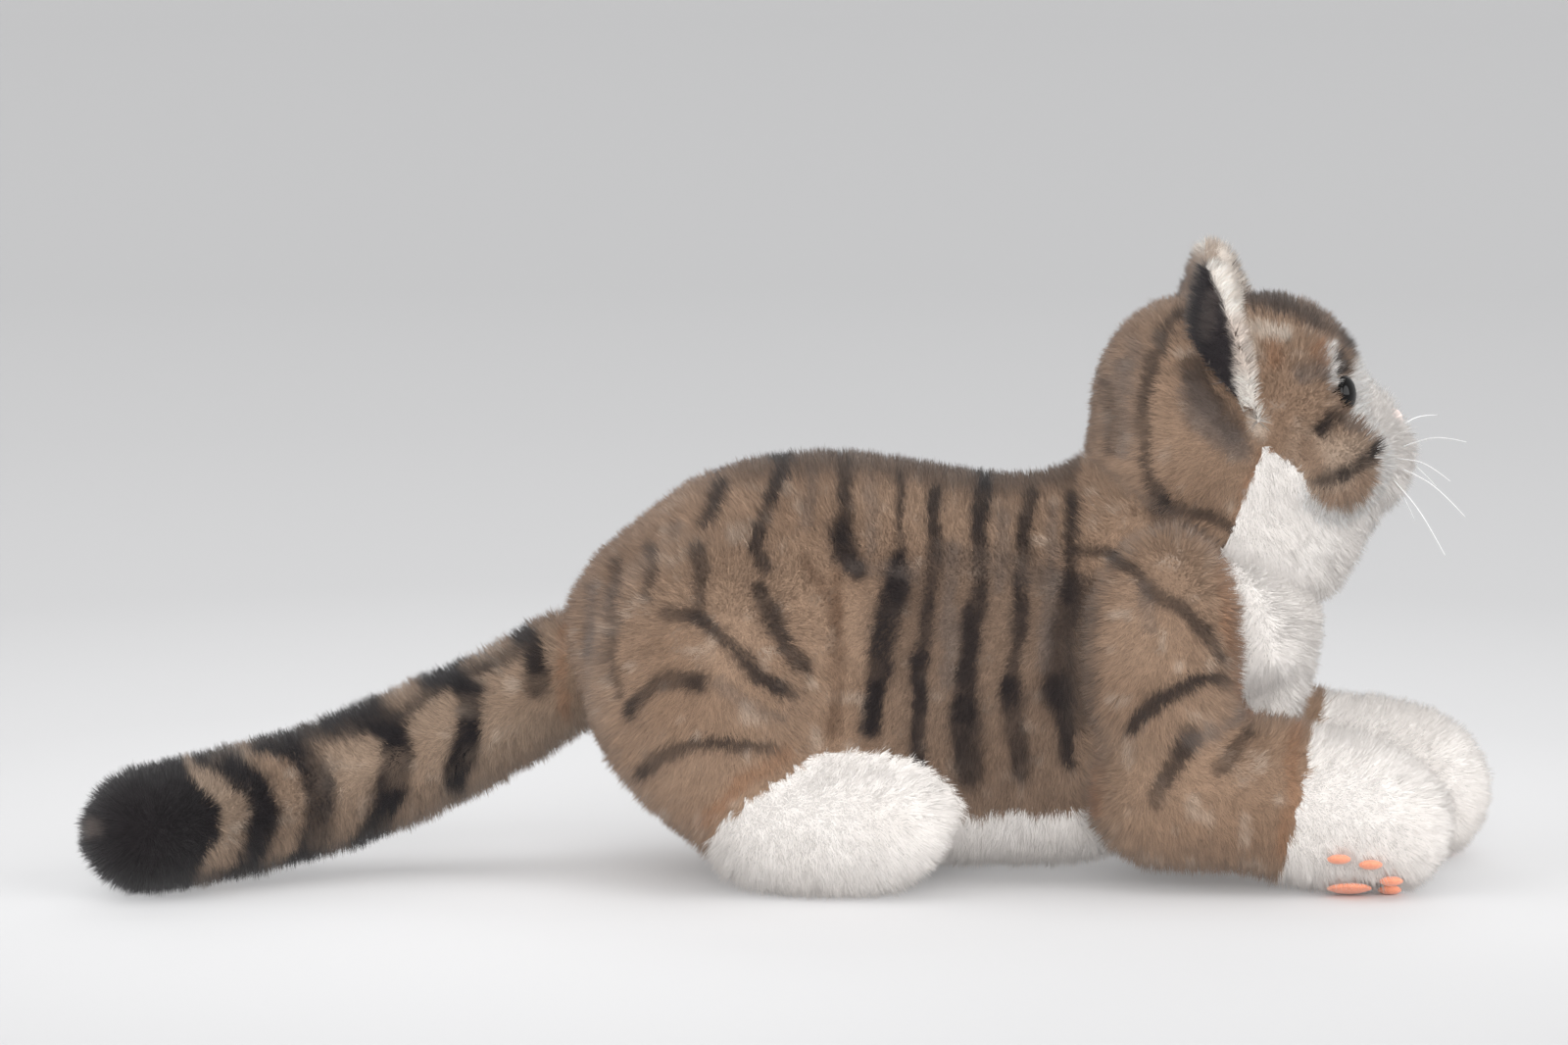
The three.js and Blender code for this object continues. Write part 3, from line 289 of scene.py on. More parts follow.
def stroke_mask(view, points, width, swell=1.0):
    """1 on a soft-edged polyline of this width in the side view, 0 off it."""
    best = np.full(len(view), 1e9, np.float32)
    for a, b in zip(points[:-1], points[1:]):
        a, b = np.array(a, float), np.array(b, float)
        d = b - a
        t = np.clip((view - a) @ d / (d @ d), 0, 1)
        gap = view - a - t[:, None] * d
        best = np.minimum(best, np.einsum("ij,ij->i", gap, gap))
    best = np.sqrt(best) / swell
    core = 1 - ramp(best, width * 0.35, width * 0.55 + 4)
    halo = 1 - ramp(best, width * 0.2, width * 0.9 + 6)
    return 0.6 * core + 0.4 * halo


def mixed(base, other, share):
    return base + (other - base) * share[:, None]


def filled(colour, p):
    """One colour at every point."""
    return np.repeat(colour[None], len(p), 0)


def tabby(p, strokes, base=TAN, ground=None):
    """The brown ground of the coat with its dark strokes, and where the points show."""
    view = side_view(p)
    colour = filled(base, p)
    colour = mixed(colour, BROWN, np.clip(0.4 + 0.6 * drift(p, 23, 2), 0, 1) * 0.6)
    colour = mixed(colour, CREAM, ramp(drift(p, 6, 3), 0.3, 0.9) * 0.25)
    if ground:
        colour = ground(colour, view)
    view = view + drifts(p, 8, (0, 1)) * 3
    view = view + drifts(p, 2.2, (2, 3)) * 2.2
    faded = np.clip(0.95 + 0.35 * drift(p, 9, 3), 0.5, 1)
    swell = 1.05 + 0.4 * drift(p, 12, 1)
    for points, width, tint, strength in strokes:
        colour = mixed(colour, tint, stroke_mask(view, points, width, swell) * strength * faded)
    return colour, view


def torso_ground(colour, view):
    flank = ramp(view[:, 0], 850, 930) * (1 - ramp(view[:, 0], 1085, 1130))
    return mixed(colour, FLANK, flank * ramp(view[:, 1], 540, 600) * 0.45)


def torso_colour(p, n=None):
    colour, view = tabby(p, TORSO_STROKES, TAN, torso_ground)
    below = view[:, 1] - np.interp(view[:, 0], *BACK_LINE)
    spine = (1 - ramp(below, 6, 24)) * ramp(view[:, 0], 700, 800)
    return mixed(colour, DARK, spine * 0.55)


def is_bib(p):
    view = side_view(p) + drift(p, 8, 1)[:, None] * 2
    return (view[:, 0] > np.interp(view[:, 1], *BIB_EDGE)) & (view[:, 1] > BIB_TOP)


def is_belly(p):
    view = side_view(p) + drift(p, 8, 1)[:, None] * 3
    return (view[:, 1] > np.interp(view[:, 0], *BELLY_EDGE)) & (p[:, 2] < BELLY_RISE)


def white_coat(p, n=None, shade=WHITE):
    return mixed(filled(shade, p), SHADED_WHITE, np.clip(0.3 + 0.7 * drift(p, 15, 2), 0, 1) * 0.2)


def head_ground(colour, view):
    cheek = ramp(view[:, 0], 1300, 1345) * ramp(view[:, 1], 425, 455)
    return mixed(colour, CHEEK_TAN, cheek * 0.6)


def head_colour(p, n=None):
    colour, view = tabby(p, HEAD_STROKES, TAN, head_ground)
    face = ramp(view[:, 0] - np.interp(view[:, 1], *FACE_EDGE), -3, 4)
    bib = ramp(view[:, 0] - np.interp(view[:, 1], *BIB_EDGE), -3, 3)
    bib = bib * ramp(view[:, 1] - np.interp(view[:, 0], *CHEEK_EDGE), -3, 3)
    bib = bib * ramp(view[:, 1], 462, 468)
    return mixed(colour, white_coat(p), np.maximum(face, bib))


def tail_colour(p, n=None):
    colour, view = tabby(p, TAIL_STROKES, TAIL_TAN)
    tip = 1 - ramp(view[:, 0] - np.interp(view[:, 1], *TAIL_TIP_EDGE), -5, 5)
    colour = mixed(colour, BLACK, tip)
    pole = 1 - ramp(np.hypot(*(view - TAIL_POLE).T), 3, 16)
    return mixed(colour, GREY, pole * 0.5)


def thigh_colour(p, n=None):
    return tabby(p, THIGH_STROKES)[0]


def foreleg_colour(p, n=None):
    return tabby(p, FORELEG_STROKES)[0]


def ear_back_colour(p, n):
    """Slate on the outer side of each ear with a pale rim, brown on the side towards the crown."""
    view = side_view(p)
    view = view + drifts(p, 2.5, (0, 1)) * 2
    colour = mixed(filled(FAR_EAR, p), CREAM, ramp(p[:, 2], 214, 226) * 0.4)
    colour = mixed(colour, GREY, (1 - ramp(view[:, 0], 1200, 1235)) * 0.7)
    facing = n[:, 1] * np.sign(p[:, 1])
    slate = mixed(filled(EAR_DARK, p), EAR_PALE, stroke_mask(view, EAR_STREAK, 6) * 0.9)
    # Painted sheen on the slate.
    slate = mixed(slate, GREY, stroke_mask(view, EAR_PAINTED_SHEEN, 10) * 0.35)
    colour = mixed(colour, slate, ramp(facing, -0.15, 0.25))
    rim = ramp(view[:, 0] - np.interp(view[:, 1], *EAR_RIM), -5, 5)
    warm = ramp(view[:, 1], 310, 330) * (1 - ramp(view[:, 1], 368, 390))
    band = mixed(filled(EAR_RIM_COLOUR, p), ORANGE, warm * 0.3)
    return mixed(colour, band, rim * ramp(facing, -0.25, 0.1))


def ear_lining_colour(p, n):
    back = ramp(-n[:, 1] * np.sign(p[:, 1]), 0.0, 0.45) * ramp(-n[:, 0], -0.6, 0.2)
    return mixed(white_coat(p, n, EAR_CREAM), FAR_EAR, back)


# ---- skins: the CAD forms, remeshed smooth and set in by the depth of the pile ----
def triangles(mesh):
    """A mesh's places and triangles."""
    mesh.calc_loop_triangles()
    co = np.zeros(len(mesh.vertices) * 3)
    mesh.vertices.foreach_get("co", co)
    tri = np.zeros(len(mesh.loop_triangles) * 3, int)
    mesh.loop_triangles.foreach_get("vertices", tri)
    return co.reshape(-1, 3), tri.reshape(-1, 3)


def arrays(nodes):
    """The places and triangles of several CAD nodes together, in metres."""
    verts, faces, base = [], [], 0
    for name in nodes:
        co, tri = triangles(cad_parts[name].data)
        verts.append(co)
        faces.append(tri + base)
        base += len(co)
    return np.concatenate(verts), np.concatenate(faces)


def link(name, mesh):
    obj = bpy.data.objects.new(name, mesh)
    bpy.context.scene.collection.objects.link(obj)
    return obj


def weld(verts, faces):
    """Joins corners that lie in one place."""
    key = np.round(verts / 1e-6).astype(np.int64)
    _, first, back = np.unique(key, axis=0, return_index=True, return_inverse=True)
    back = back.reshape(-1)
    return verts[first], back[faces]


def largest(verts, faces):
    """The biggest connected shell of a triangle mesh."""
    parent = np.arange(len(verts))
    while True:
        low = parent[faces].min(1)
        new = parent.copy()
        np.minimum.at(new, faces.ravel(), np.repeat(low, 3))
        new = new[new]
        if (new == parent).all():
            break
        parent = new
    labels, counts = np.unique(parent[faces[:, 0]], return_counts=True)
    keep = faces[parent[faces[:, 0]] == labels[counts.argmax()]]
    used, back = np.unique(keep, return_inverse=True)
    return verts[used], back.reshape(-1, 3)


def mesh_from(name, verts, faces):
    mesh = bpy.data.meshes.new(name)
    mesh.from_pydata(verts.tolist(), [], faces.tolist() if isinstance(faces, np.ndarray) else faces)
    mesh.update()
    mesh.shade_smooth()
    return mesh


def remeshed(name, verts, faces, voxel, rounds):
    """One smooth closed surface over loose or overlapping ones."""
    obj = link(name, mesh_from(name, verts, faces))
    remesh = obj.modifiers.new("remesh", "REMESH")
    remesh.mode = "VOXEL"
    remesh.voxel_size = voxel * MM
    smooth = obj.modifiers.new("smooth", "SMOOTH")
    smooth.factor = 0.5
    smooth.iterations = rounds
    made = bpy.data.meshes.new_from_object(obj.evaluated_get(bpy.context.evaluated_depsgraph_get()))
    rough = obj.data
    obj.modifiers.clear()
    obj.data = made
    bpy.data.meshes.remove(rough)
    return obj


def vertex_normals(verts, faces):
    a, b, c = (verts[faces[:, i]] for i in range(3))
    face = np.cross(b - a, c - a)
    normals = np.zeros_like(verts)
    for i in range(3):
        np.add.at(normals, faces[:, i], face)
    return unit(normals)


PROBES = [Vector(v).normalized() for v in ((0.31, 0.93, 0.2), (-0.72, -0.45, 0.53), (0.48, -0.36, -0.8))]


class Skin:
    """The smooth closed outside of all CAD nodes sewn together on one body, in metres.
    Each face belongs to the part whose CAD nodes it lies nearest to."""

    def __init__(self, parts, voxel=3.0, rounds=10, inset=3.4):
        solids = weld(*arrays([n for nodes in parts.values() for n in nodes]))
        obj = remeshed("skin_work", *solids, voxel, rounds)
        verts, faces = largest(*triangles(obj.data))
        bpy.data.objects.remove(obj)
        self.faces = faces
        pairs = np.concatenate([faces[:, [0, 1]], faces[:, [1, 2]], faces[:, [2, 0]]])
        self.pairs = np.concatenate([pairs, pairs[:, ::-1]])
        self.count = np.bincount(self.pairs[:, 0], minlength=len(verts))[:, None]
        self.names = list(parts)
        trees = [BVHTree.FromPolygons(*[x.tolist() for x in arrays(nodes)]) for nodes in parts.values()]
        self.part = np.zeros(len(faces), int)
        if len(trees) > 1:
            for i, centre in enumerate(verts[faces].mean(1)):
                gaps = [tree.find_nearest(Vector(centre))[3] for tree in trees]
                self.part[i] = int(np.argmin(gaps))
        self.verts = verts - vertex_normals(verts, faces) * inset * MM
        self.settle()

    def pull(self):
        """From each vertex to the middle of its neighbours."""
        start, end = self.pairs.T
        sums = [np.bincount(start, self.verts[end, k], len(self.verts)) for k in range(3)]
        return np.stack(sums, 1) / self.count - self.verts

    def fill_creases(self, rounds, share):
        """Moves only hollow places outwards, so that sewn joints round off like stuffed cloth."""
        for _ in range(rounds):
            normals = vertex_normals(self.verts, self.faces)
            rise = np.einsum("ij,ij->i", self.pull(), normals)
            self.verts = self.verts + normals * (np.maximum(rise, 0) * 0.6 * share)[:, None]
        self.settle()

    def relax(self, rounds, share):
        """Evens out moved places, so that a filled joint is one smooth cloth."""
        for _ in range(rounds):
            self.verts = self.verts + self.pull() * share[:, None] * 0.7
        self.settle()

    def settle(self):
        """Renews what is worked out from the places."""
        self.normals = vertex_normals(self.verts, self.faces)
        self.tree = BVHTree.FromPolygons(self.verts.tolist(), self.faces.tolist())

    def depth_of(self, points):
        """How far each point lies inside this skin, in metres; below 0 outside it."""
        low, high = self.verts.min(0), self.verts.max(0)
        depth = np.full(len(points), -1.0)
        for i in np.nonzero(((points > low) & (points < high)).all(1))[0]:
            point = Vector(points[i])
            leaving = 0
            for way in PROBES:
                place, normal, _, _ = self.tree.ray_cast(point, way)
                leaving += place is not None and normal.dot(way) > 0
            gap = self.tree.find_nearest(point)[3]
            depth[i] = gap if leaving >= 2 else -gap
        return depth


def fillet(first, second, width, rounds=10):
    """Fills the crease where two skins meet, as a smooth union of both would; width(points)."""
    moves = []
    for skin, other in ((first, second), (second, first)):
        reaches = width(skin.verts / MM)
        low = other.verts.min(0) - reaches.max() * MM
        high = other.verts.max(0) + reaches.max() * MM
        move = np.zeros(len(skin.verts))
        for i in np.nonzero(((skin.verts > low) & (skin.verts < high)).all(1))[0]:
            gap = other.tree.find_nearest(Vector(skin.verts[i]))[3] / MM
            reach = reaches[i]
            if gap < reach:
                move[i] = (reach - gap) ** 2 / (4 * reach)
        moves.append(move)
    for skin, move in zip((first, second), moves):
        skin.verts = skin.verts + skin.normals * move[:, None] * MM
        skin.relax(rounds, ramp(move, 0.2, 1.5))


SIDES = ("right", "left")
body_parts = {"torso": ["torso_cover", "torso_stuffing", "belly_panel", "chest_bib"]}
for s in SIDES:
    body_parts[f"thigh_{s}"] = [f"thigh_cover_{s}", f"hind_stuffing_{s}"]
    body_parts[f"hind_foot_{s}"] = [f"hind_foot_{s}"]
trunk = Skin(body_parts)
head_parts = {
    "head": ["head_cover", "head_stuffing"],
    "throat": ["throat_panel"],
    "muzzle": ["muzzle_pad"],
}
head = Skin(head_parts, voxel=2.4, inset=3.0)
tail = Skin({"tail": ["tail_cover", "tail_stuffing"]})
forelegs, ears = {}, {}
for s in SIDES:
    foreleg_parts = {
        "foreleg": [f"foreleg_cover_{s}", f"foreleg_stuffing_{s}"],
        "forepaw": [f"forepaw_cover_{s}"],
    }
    forelegs[s] = Skin(foreleg_parts, voxel=2.6)
    ear_parts = {"cover": [f"ear_cover_{s}"], "lining": [f"ear_lining_{s}"]}
    ears[s] = Skin(ear_parts, voxel=1.7, rounds=3, inset=1.6)

# The chest bulges to both sides, and the near paw reaches further than its solid.
CHEST_BULGE = 9
PAW_REACH = 12
x, y, z = head.verts.T / MM
head.relax(45, ramp(x, 150, 170) * (1 - ramp(z, 126, 140)))
x, y, z = trunk.verts.T / MM
side = np.sign(y) * ramp(np.abs(y), 8, 26)
front = ramp(x, 128, 146) * ramp(z, 44, 60) * (1 - ramp(z, 112, 126))
trunk.verts[:, 1] += side * front * CHEST_BULGE * MM
trunk.settle()
near_paw = forelegs["right"]
near_paw.verts[:, 0] += PAW_REACH * MM * ramp(near_paw.verts[:, 0] / MM, 196, 246)
near_paw.settle()


def shoulder_width(p):
    behind = ramp(p[:, 2], 45, 85) * (1 - ramp(p[:, 0], 120, 150))
    return 20 + 20 * behind


def neck_width(p):
    return 20 + 12 * ramp(p[:, 0], 145, 165)


def ear_width(p):
    return np.full(len(p), 6.0)


def tail_width(p):
    return 18 + 16 * ramp(p[:, 2], 70, 84)


trunk.fill_creases(30, ramp(trunk.verts[:, 2] / MM, 55, 85) * 0.8 + 0.2)
for s in SIDES:
    fillet(trunk, forelegs[s], shoulder_width)
    fillet(head, ears[s], ear_width, 0)
fillet(trunk, tail, tail_width)
fillet(trunk, head, neck_width)
x, y, z = trunk.verts.T / MM
chest = ramp(x, 128, 142) * ramp(z, 46, 56)
trunk.relax(25, chest)
trunk.fill_creases(20, chest)

# ---- bends, in metres: where a soft piece turns from one body to the next, and from where to where ----
NECK_PIVOT = np.array([144.742, 0, 125.7])
NECK_AXIS = np.array([0.5358, 0, 0.8443])
NECK_ENDS = [tuple((NECK_PIVOT + up * NECK_AXIS) * MM) for up in (-10, 25)]
NECK = ("torso", "head", *NECK_ENDS)
EAR_BEND, SHOULDER_BEND = {}, {}
for s, sign in (("right", -1), ("left", 1)):
    ear_ends = (0.1502, sign * 0.030, 0.180), (0.1502, sign * 0.0315, 0.200)
    EAR_BEND[s] = ("head", f"ear_{s}", *ear_ends)
    shoulder_ends = (0.1292, sign * 0.046, 0.128), (0.1292, sign * 0.046, 0.086)
    SHOULDER_BEND[s] = ("torso", f"foreleg_{s}", *shoulder_ends)


# ---- materials ----
def material(name):
    mat = bpy.data.materials.new(name)
    mat.use_nodes = True
    nodes = mat.node_tree.nodes
    nodes.clear()
    out = nodes.new("ShaderNodeOutputMaterial")
    shader = nodes.new("ShaderNodeBsdfPrincipled")
    mat.node_tree.links.new(shader.outputs["BSDF"], out.inputs["Surface"])
    return mat, nodes, mat.node_tree.links, shader


def grain(nodes, links, shader, scale, detail, rough, bump, depth):
    """Fine noise over the piece that varies its roughness and dents it; returns the noise."""
    place = nodes.new("ShaderNodeTexCoord")
    noise = nodes.new("ShaderNodeTexNoise")
    noise.inputs["Scale"].default_value = scale
    noise.inputs["Detail"].default_value = detail
    links.new(place.outputs["Object"], noise.inputs["Vector"])
    wear = nodes.new("ShaderNodeMapRange")
    wear.inputs["To Min"].default_value, wear.inputs["To Max"].default_value = rough
    links.new(noise.outputs["Fac"], wear.inputs["Value"])
    links.new(wear.outputs["Result"], shader.inputs["Roughness"])
    if bump:
        dent = nodes.new("ShaderNodeBump")
        dent.inputs["Strength"].default_value = bump
        dent.inputs["Distance"].default_value = depth
        links.new(noise.outputs["Fac"], dent.inputs["Height"])
        links.new(dent.outputs["Normal"], shader.inputs["Normal"])
    return noise


def coat_material(name, noise_scale, rough, sheen, bump=0.0):
    """Colour from the piece's own tint, varied by fine noise."""
    mat, nodes, links, shader = material(name)
    noise = grain(nodes, links, shader, noise_scale, 3, (rough - 0.08, rough + 0.04), bump, 0.001)
    tint = nodes.new("ShaderNodeAttribute")
    tint.attribute_name = "tint"
    lift = nodes.new("ShaderNodeMapRange")
    lift.inputs["To Min"].default_value = 0.86
    lift.inputs["To Max"].default_value = 1.1
    links.new(noise.outputs["Fac"], lift.inputs["Value"])
    scale = nodes.new("ShaderNodeVectorMath")
    scale.operation = "SCALE"
    links.new(tint.outputs["Color"], scale.inputs[0])
    links.new(lift.outputs["Result"], scale.inputs["Scale"])
    links.new(scale.outputs["Vector"], shader.inputs["Base Color"])
    shader.inputs["Sheen Weight"].default_value = sheen
    shader.inputs["Sheen Roughness"].default_value = 0.5
    shader.inputs["Specular IOR Level"].default_value = 0.15
    return mat


FUR = coat_material("plush_pile", 260, 0.88, 0.12)
BACKING = coat_material("plush_backing", 700, 0.93, 0.05, 0.4)


def plain_material(name, colour, scale, rough, bump, spread=0.12, **sockets):
    """One colour, lighter and darker by fine noise."""
    mat, nodes, links, shader = material(name)
    worn = (max(rough - 0.05, 0.02), min(rough + 0.05, 1))
    noise = grain(nodes, links, shader, scale, 4, worn, bump, 0.0005)
    shades = nodes.new("ShaderNodeValToRGB")
    for element, position, sign in zip(shades.color_ramp.elements, (0.3, 0.7), (-1, 1)):
        element.position = position
        element.color = (*np.clip(colour * (1 + sign * spread), 0, 1), 1)
    links.new(noise.outputs["Fac"], shades.inputs["Fac"])
    links.new(shades.outputs["Color"], shader.inputs["Base Color"])
    for key, value in sockets.items():
        shader.inputs[key.replace("_", " ")].default_value = value
    return mat


PAD_CLOTH = plain_material("pad_velour", PAD, 1400, 0.85, 0.4, Sheen_Weight=0.3)
NOSE_CLOTH = plain_material("nose_velour", NOSE, 1400, 0.8, 0.4, Sheen_Weight=0.3)
EYE_BLACK = linear(9, 8, 8)
EYE_GLOSS = plain_material("eye_gloss", EYE_BLACK, 300, 0.06, 0.0, 0.3, Specular_IOR_Level=0.22)
THREAD = plain_material("stitch_thread", linear(168, 128, 118), 2600, 0.8, 0.6)
NYLON = plain_material("whisker_nylon", linear(240, 240, 240), 900, 0.35, 0.1, 0.03)
WASHER = plain_material("washer_plastic", linear(214, 214, 208), 240, 0.5, 0.1)
FILLING = plain_material("polyester_filling", linear(236, 235, 230), 420, 0.95, 0.8)


def tinted(mesh, colours):
    """Stores the linear colours as the mesh's tint."""
    layer = mesh.color_attributes.new("tint", "FLOAT_COLOR", "POINT")
    full = np.ones((len(mesh.vertices), 4), np.float32)
    full[:, :3] = np.clip(colours, 0, 1)
    layer.data.foreach_set("color", full.ravel())


# ---- pieces: what carries them, and the CAD nodes that they stand for ----
def carry(obj, slot, stands_for=(), body=None, bend=None):
    if bend:
        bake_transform(obj)
    else:
        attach(obj, body)
    if stands_for:
        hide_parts(*stands_for)


# Painted shade: the backing cloth is darkened to this share of its colour, as if shadowed by the pile
# above it.
BACKING_PAINTED_SHADE = 0.6
LEAST_RISE = 0.4


def skin_object(name, skin, part, colour, slot, stands_for, where=None, fill=0.7, **carried):
    """The backing cloth of one part, under its pile, its colour darkened as painted shade from the pile.
    """
    faces = skin.faces[skin.part == skin.names.index(part)]
    if where is not None:
        faces = faces[where(skin.verts[faces].mean(1) / MM)]
    used, back = np.unique(faces, return_inverse=True)
    verts, normals = skin.verts[used], skin.normals[used]
    lifted = verts.copy()
    lifted[:, 2] = np.maximum(lifted[:, 2], LEAST_RISE * MM)
    mesh = mesh_from(name, lifted, back.reshape(-1, 3))
    tinted(mesh, colour(verts / MM, normals) * BACKING_PAINTED_SHADE)
    mesh.materials.append(BACKING)
    obj = link(name, mesh)
    carry(obj, slot, stands_for, **carried)


# ---- pile ----
TURNED = np.array(
    Matrix.Rotation(0.7, 3, "X") @ Matrix.Rotation(0.5, 3, "Y") @ Matrix.Rotation(0.9, 3, "Z")
)
MAX_FACES = 150_000  # of one piece
ROOT_DEPTH = 0.4
FOOT_RISE, TIP_RISE, CORNER_RISE = 0.3, 0.15, 0.05  # least heights above the floor
LOOSE_LEAN, CLUMP_LEAN = 0.14, 0.22
LOOSE_TURN, CLUMP_TURN, WIDE_TURN = 0.4, 0.6, 0.3
TIP_PULL = 0.7
TINT_AT = 0.75  # of a tuft's length, where its colour is read
BLADE = 0.03  # between a tuft's two sides


@dataclass
class Coat:
    """How the pile grows on a skin: sizes in mm, lean in degrees, density in tufts per square mm."""

    colour: object
    comb: object
    length: float = 7.0
    lean: float = 16
    density: float = 4.5
    width: float = 0.42
    clump: float = 2.4
    # Darker roots and lighter tips: partly the fur's own tone, partly painted shade deep in the pile and
    # painted light on the tips.
    root_tone_and_shade: float = 0.7
    tip_tone_and_light: float = 1.18
    spread: float = 0.12


def along_skin(v, normal):
    return v - normal * np.einsum("ij,ij->i", v, normal)[:, None]


def swung(a, b, angle):
    """Turned from a towards b."""
    return a * np.cos(angle)[:, None] + b * np.sin(angle)[:, None]


def roots_on(skin, part, density, hidden_by, where, clear):
    """Random places on one part of a skin, in mm, and its normals there. None lie where another
    skin covers them by its margin, or within reach of the small pieces in clear."""
    verts = skin.verts
    faces = skin.faces[skin.part == skin.names.index(part)]
    hidden = np.zeros(len(verts))
    for other, margin in hidden_by:
        hidden = np.maximum(hidden, other.depth_of(verts) - margin * MM > 0)
    a, b, c = (verts[faces[:, i]] for i in range(3))
    area = np.linalg.norm(np.cross(b - a, c - a), axis=1) / 2 * 1e6
    area = area * (hidden[faces].min(1) < 0.5)
    count = int(area.sum() * density)
    pick = rng.choice(len(faces), count, p=area / area.sum())
    u, v = rng.random(count), rng.random(count)
    flip = u + v > 1
    u[flip], v[flip] = 1 - u[flip], 1 - v[flip]
    w = np.stack([1 - u - v, u, v], 1)
    root = np.einsum("ij,ijk->ik", w, verts[faces[pick]]) / MM
    normal = unit(np.einsum("ij,ijk->ik", w, skin.normals[faces[pick]]))
    keep = np.einsum("ij,ij->i", w, hidden[faces[pick]]) < 0.5
    if where is not None:
        keep &= where(root)
    for tree, low, high, reach in clear:
        near = keep & (root > low - reach).all(1) & (root < high + reach).all(1)
        for i in np.nonzero(near)[0]:
            keep[i] = tree.find_nearest(Vector(root[i] * MM))[3] > reach * MM
    return root[keep], normal[keep]


def to_clump(root, normal, size):
    """From each root to the middle of its clump; clumps are uneven cells of a turned, wavy grid."""
    warped = root @ TURNED + drifts(root, 4, (1, 2, 3)) * 1.6
    cell = np.floor(warped / size).astype(int)
    jitter = lattice[tuple((cell % GRID).T)][:, :3]
    centre = (cell + 0.2 + 0.6 * jitter) * size
    return along_skin((centre - warped) @ TURNED.T, normal)


def pile(skin, part, coat, hidden_by=(), where=None, clear=()):
    """Tapered two-sided tufts: their corners (n, 3, 3) in metres, tints and normals."""
    root, normal = roots_on(skin, part, coat.density, hidden_by, where, clear)
    n = len(root)
    comb = unit(along_skin(coat.comb(root, normal), normal))
    clump = drifts(root, coat.clump)
    loose = rng.normal(0, 1, (n, 2))
    lean = math.radians(coat.lean) + LOOSE_LEAN * loose[:, 0] + CLUMP_LEAN * clump[:, 0]
    turn = LOOSE_TURN * loose[:, 1] + CLUMP_TURN * clump[:, 1]
    turn = turn + WIDE_TURN * drift(root, coat.clump * 3, 1)
    way = swung(comb, np.cross(normal, comb), turn)
    direction = swung(normal, way, np.clip(lean, 0.05, 1.35))
    length = coat.length * (0.66 + 0.5 * rng.random(n) + 0.2 * clump[:, 2])
    spin = rng.normal(0, 0.6, n)
    flat = unit(np.cross(normal, direction))
    half = swung(flat, np.cross(direction, flat), spin) * (coat.width / 2)
    foot = root - normal * ROOT_DEPTH
    tip = foot + direction * length[:, None]
    tip[:, 2] = np.maximum(tip[:, 2], TIP_RISE)
    foot[:, 2] = np.maximum(foot[:, 2], FOOT_RISE)
    tip += to_clump(root, normal, coat.clump) * TIP_PULL
    tip[:, 2] = np.maximum(tip[:, 2], TIP_RISE)
    corners = np.stack([foot - half, foot + half, tip], 1)
    corners[:, :, 2] = np.maximum(corners[:, :, 2], CORNER_RISE)
    tint = coat.colour(foot + direction * (length * TINT_AT)[:, None], normal)
    vary = rng.normal(0, 1, n).clip(-2, 2) + 0.5 * clump[:, 0]
    tint = tint * (1 + coat.spread * vary)[:, None]
    # Roots darkened and tips lightened: partly the fur's own tone, partly painted shade in the pile and
    # painted light on the tips.
    tints = np.stack([tint * coat.root_tone_and_shade, tint * coat.root_tone_and_shade, tint * coat.tip_tone_and_light], 1)
    shade = unit(normal + 0.12 * direction)
    a, b, c = corners.transpose(1, 0, 2)
    behind = unit(np.cross(b - a, c - a))[:, None] * BLADE
    corners = np.concatenate([corners, corners[:, [1, 0, 2]] - behind])
    normals = np.repeat(np.concatenate([shade, shade])[:, None], 3, 1)
    return corners * MM, np.concatenate([tints, tints]), normals


def tuft_object(name, tufts, slot, **carried):
    """Mesh objects of tufts from back to front, split so that none is too heavy."""
    order = np.argsort(tufts[0][:, 0, 0], kind="stable")
    chunks = max(1, math.ceil(len(order) / MAX_FACES))
    for i, rows in enumerate(np.array_split(order, chunks)):
        corners, tints, normals = (values[rows].reshape(-1, 3) for values in tufts)
        n = len(rows)
        mesh = bpy.data.meshes.new(f"{name}_{i + 1}")
        mesh.vertices.add(n * 3)
        mesh.vertices.foreach_set("co", corners.astype(np.float32).ravel())
        mesh.loops.add(n * 3)
        mesh.loops.foreach_set("vertex_index", np.arange(n * 3, dtype=np.int32))
        mesh.polygons.add(n)
        mesh.polygons.foreach_set("loop_start", np.arange(0, n * 3, 3, dtype=np.int32))
        mesh.update(calc_edges=True)
        tinted(mesh, tints)
        mesh.shade_smooth()
        mesh.normals_split_custom_set_from_vertices(normals.tolist())
        mesh.materials.append(FUR)
        obj = link(mesh.name, mesh)
        obj.visible_shadow = False
        obj.visible_diffuse = False
        carry(obj, slot, **carried)


# ---- which way the pile is combed ----
NOSE_POINT = np.array([216.0, 0, 165.0])
RIGHT_EAR_TIP, LEFT_EAR_TIP = np.array([148.7, -44, 223.0]), np.array([148.7, 44, 223.0])


def combed(x, z):
    """Combed one way all over."""

    def field(p, n):
        return np.repeat(np.array([[x, 0, z]]), len(p), 0)

    return field


def combed_to(point):
    """Combed towards one point."""

    def field(p, n):
        return point - p

    return field


def comb_torso(p, n):
    shoulder = ramp(p[:, 0], 70, 105)[:, None]
    way = combed(-0.8, -0.6)(p, n) * (1 - shoulder) + np.array([[-0.45, 0, -0.9]]) * shoulder
    chest = ramp(p[:, 0], 130, 155)[:, None]
    return way * (1 - chest) + np.array([-0.15, 0, -1.0]) * chest


def comb_head(p, n):
    return unit(p - NOSE_POINT)


def comb_foreleg(p, n):
    arm = ramp(p[:, 2], 55, 80)[:, None]
    return np.array([[-0.45, 0, -0.9]]) * arm + np.array([[0.7, 0, -0.7]]) * (1 - arm)


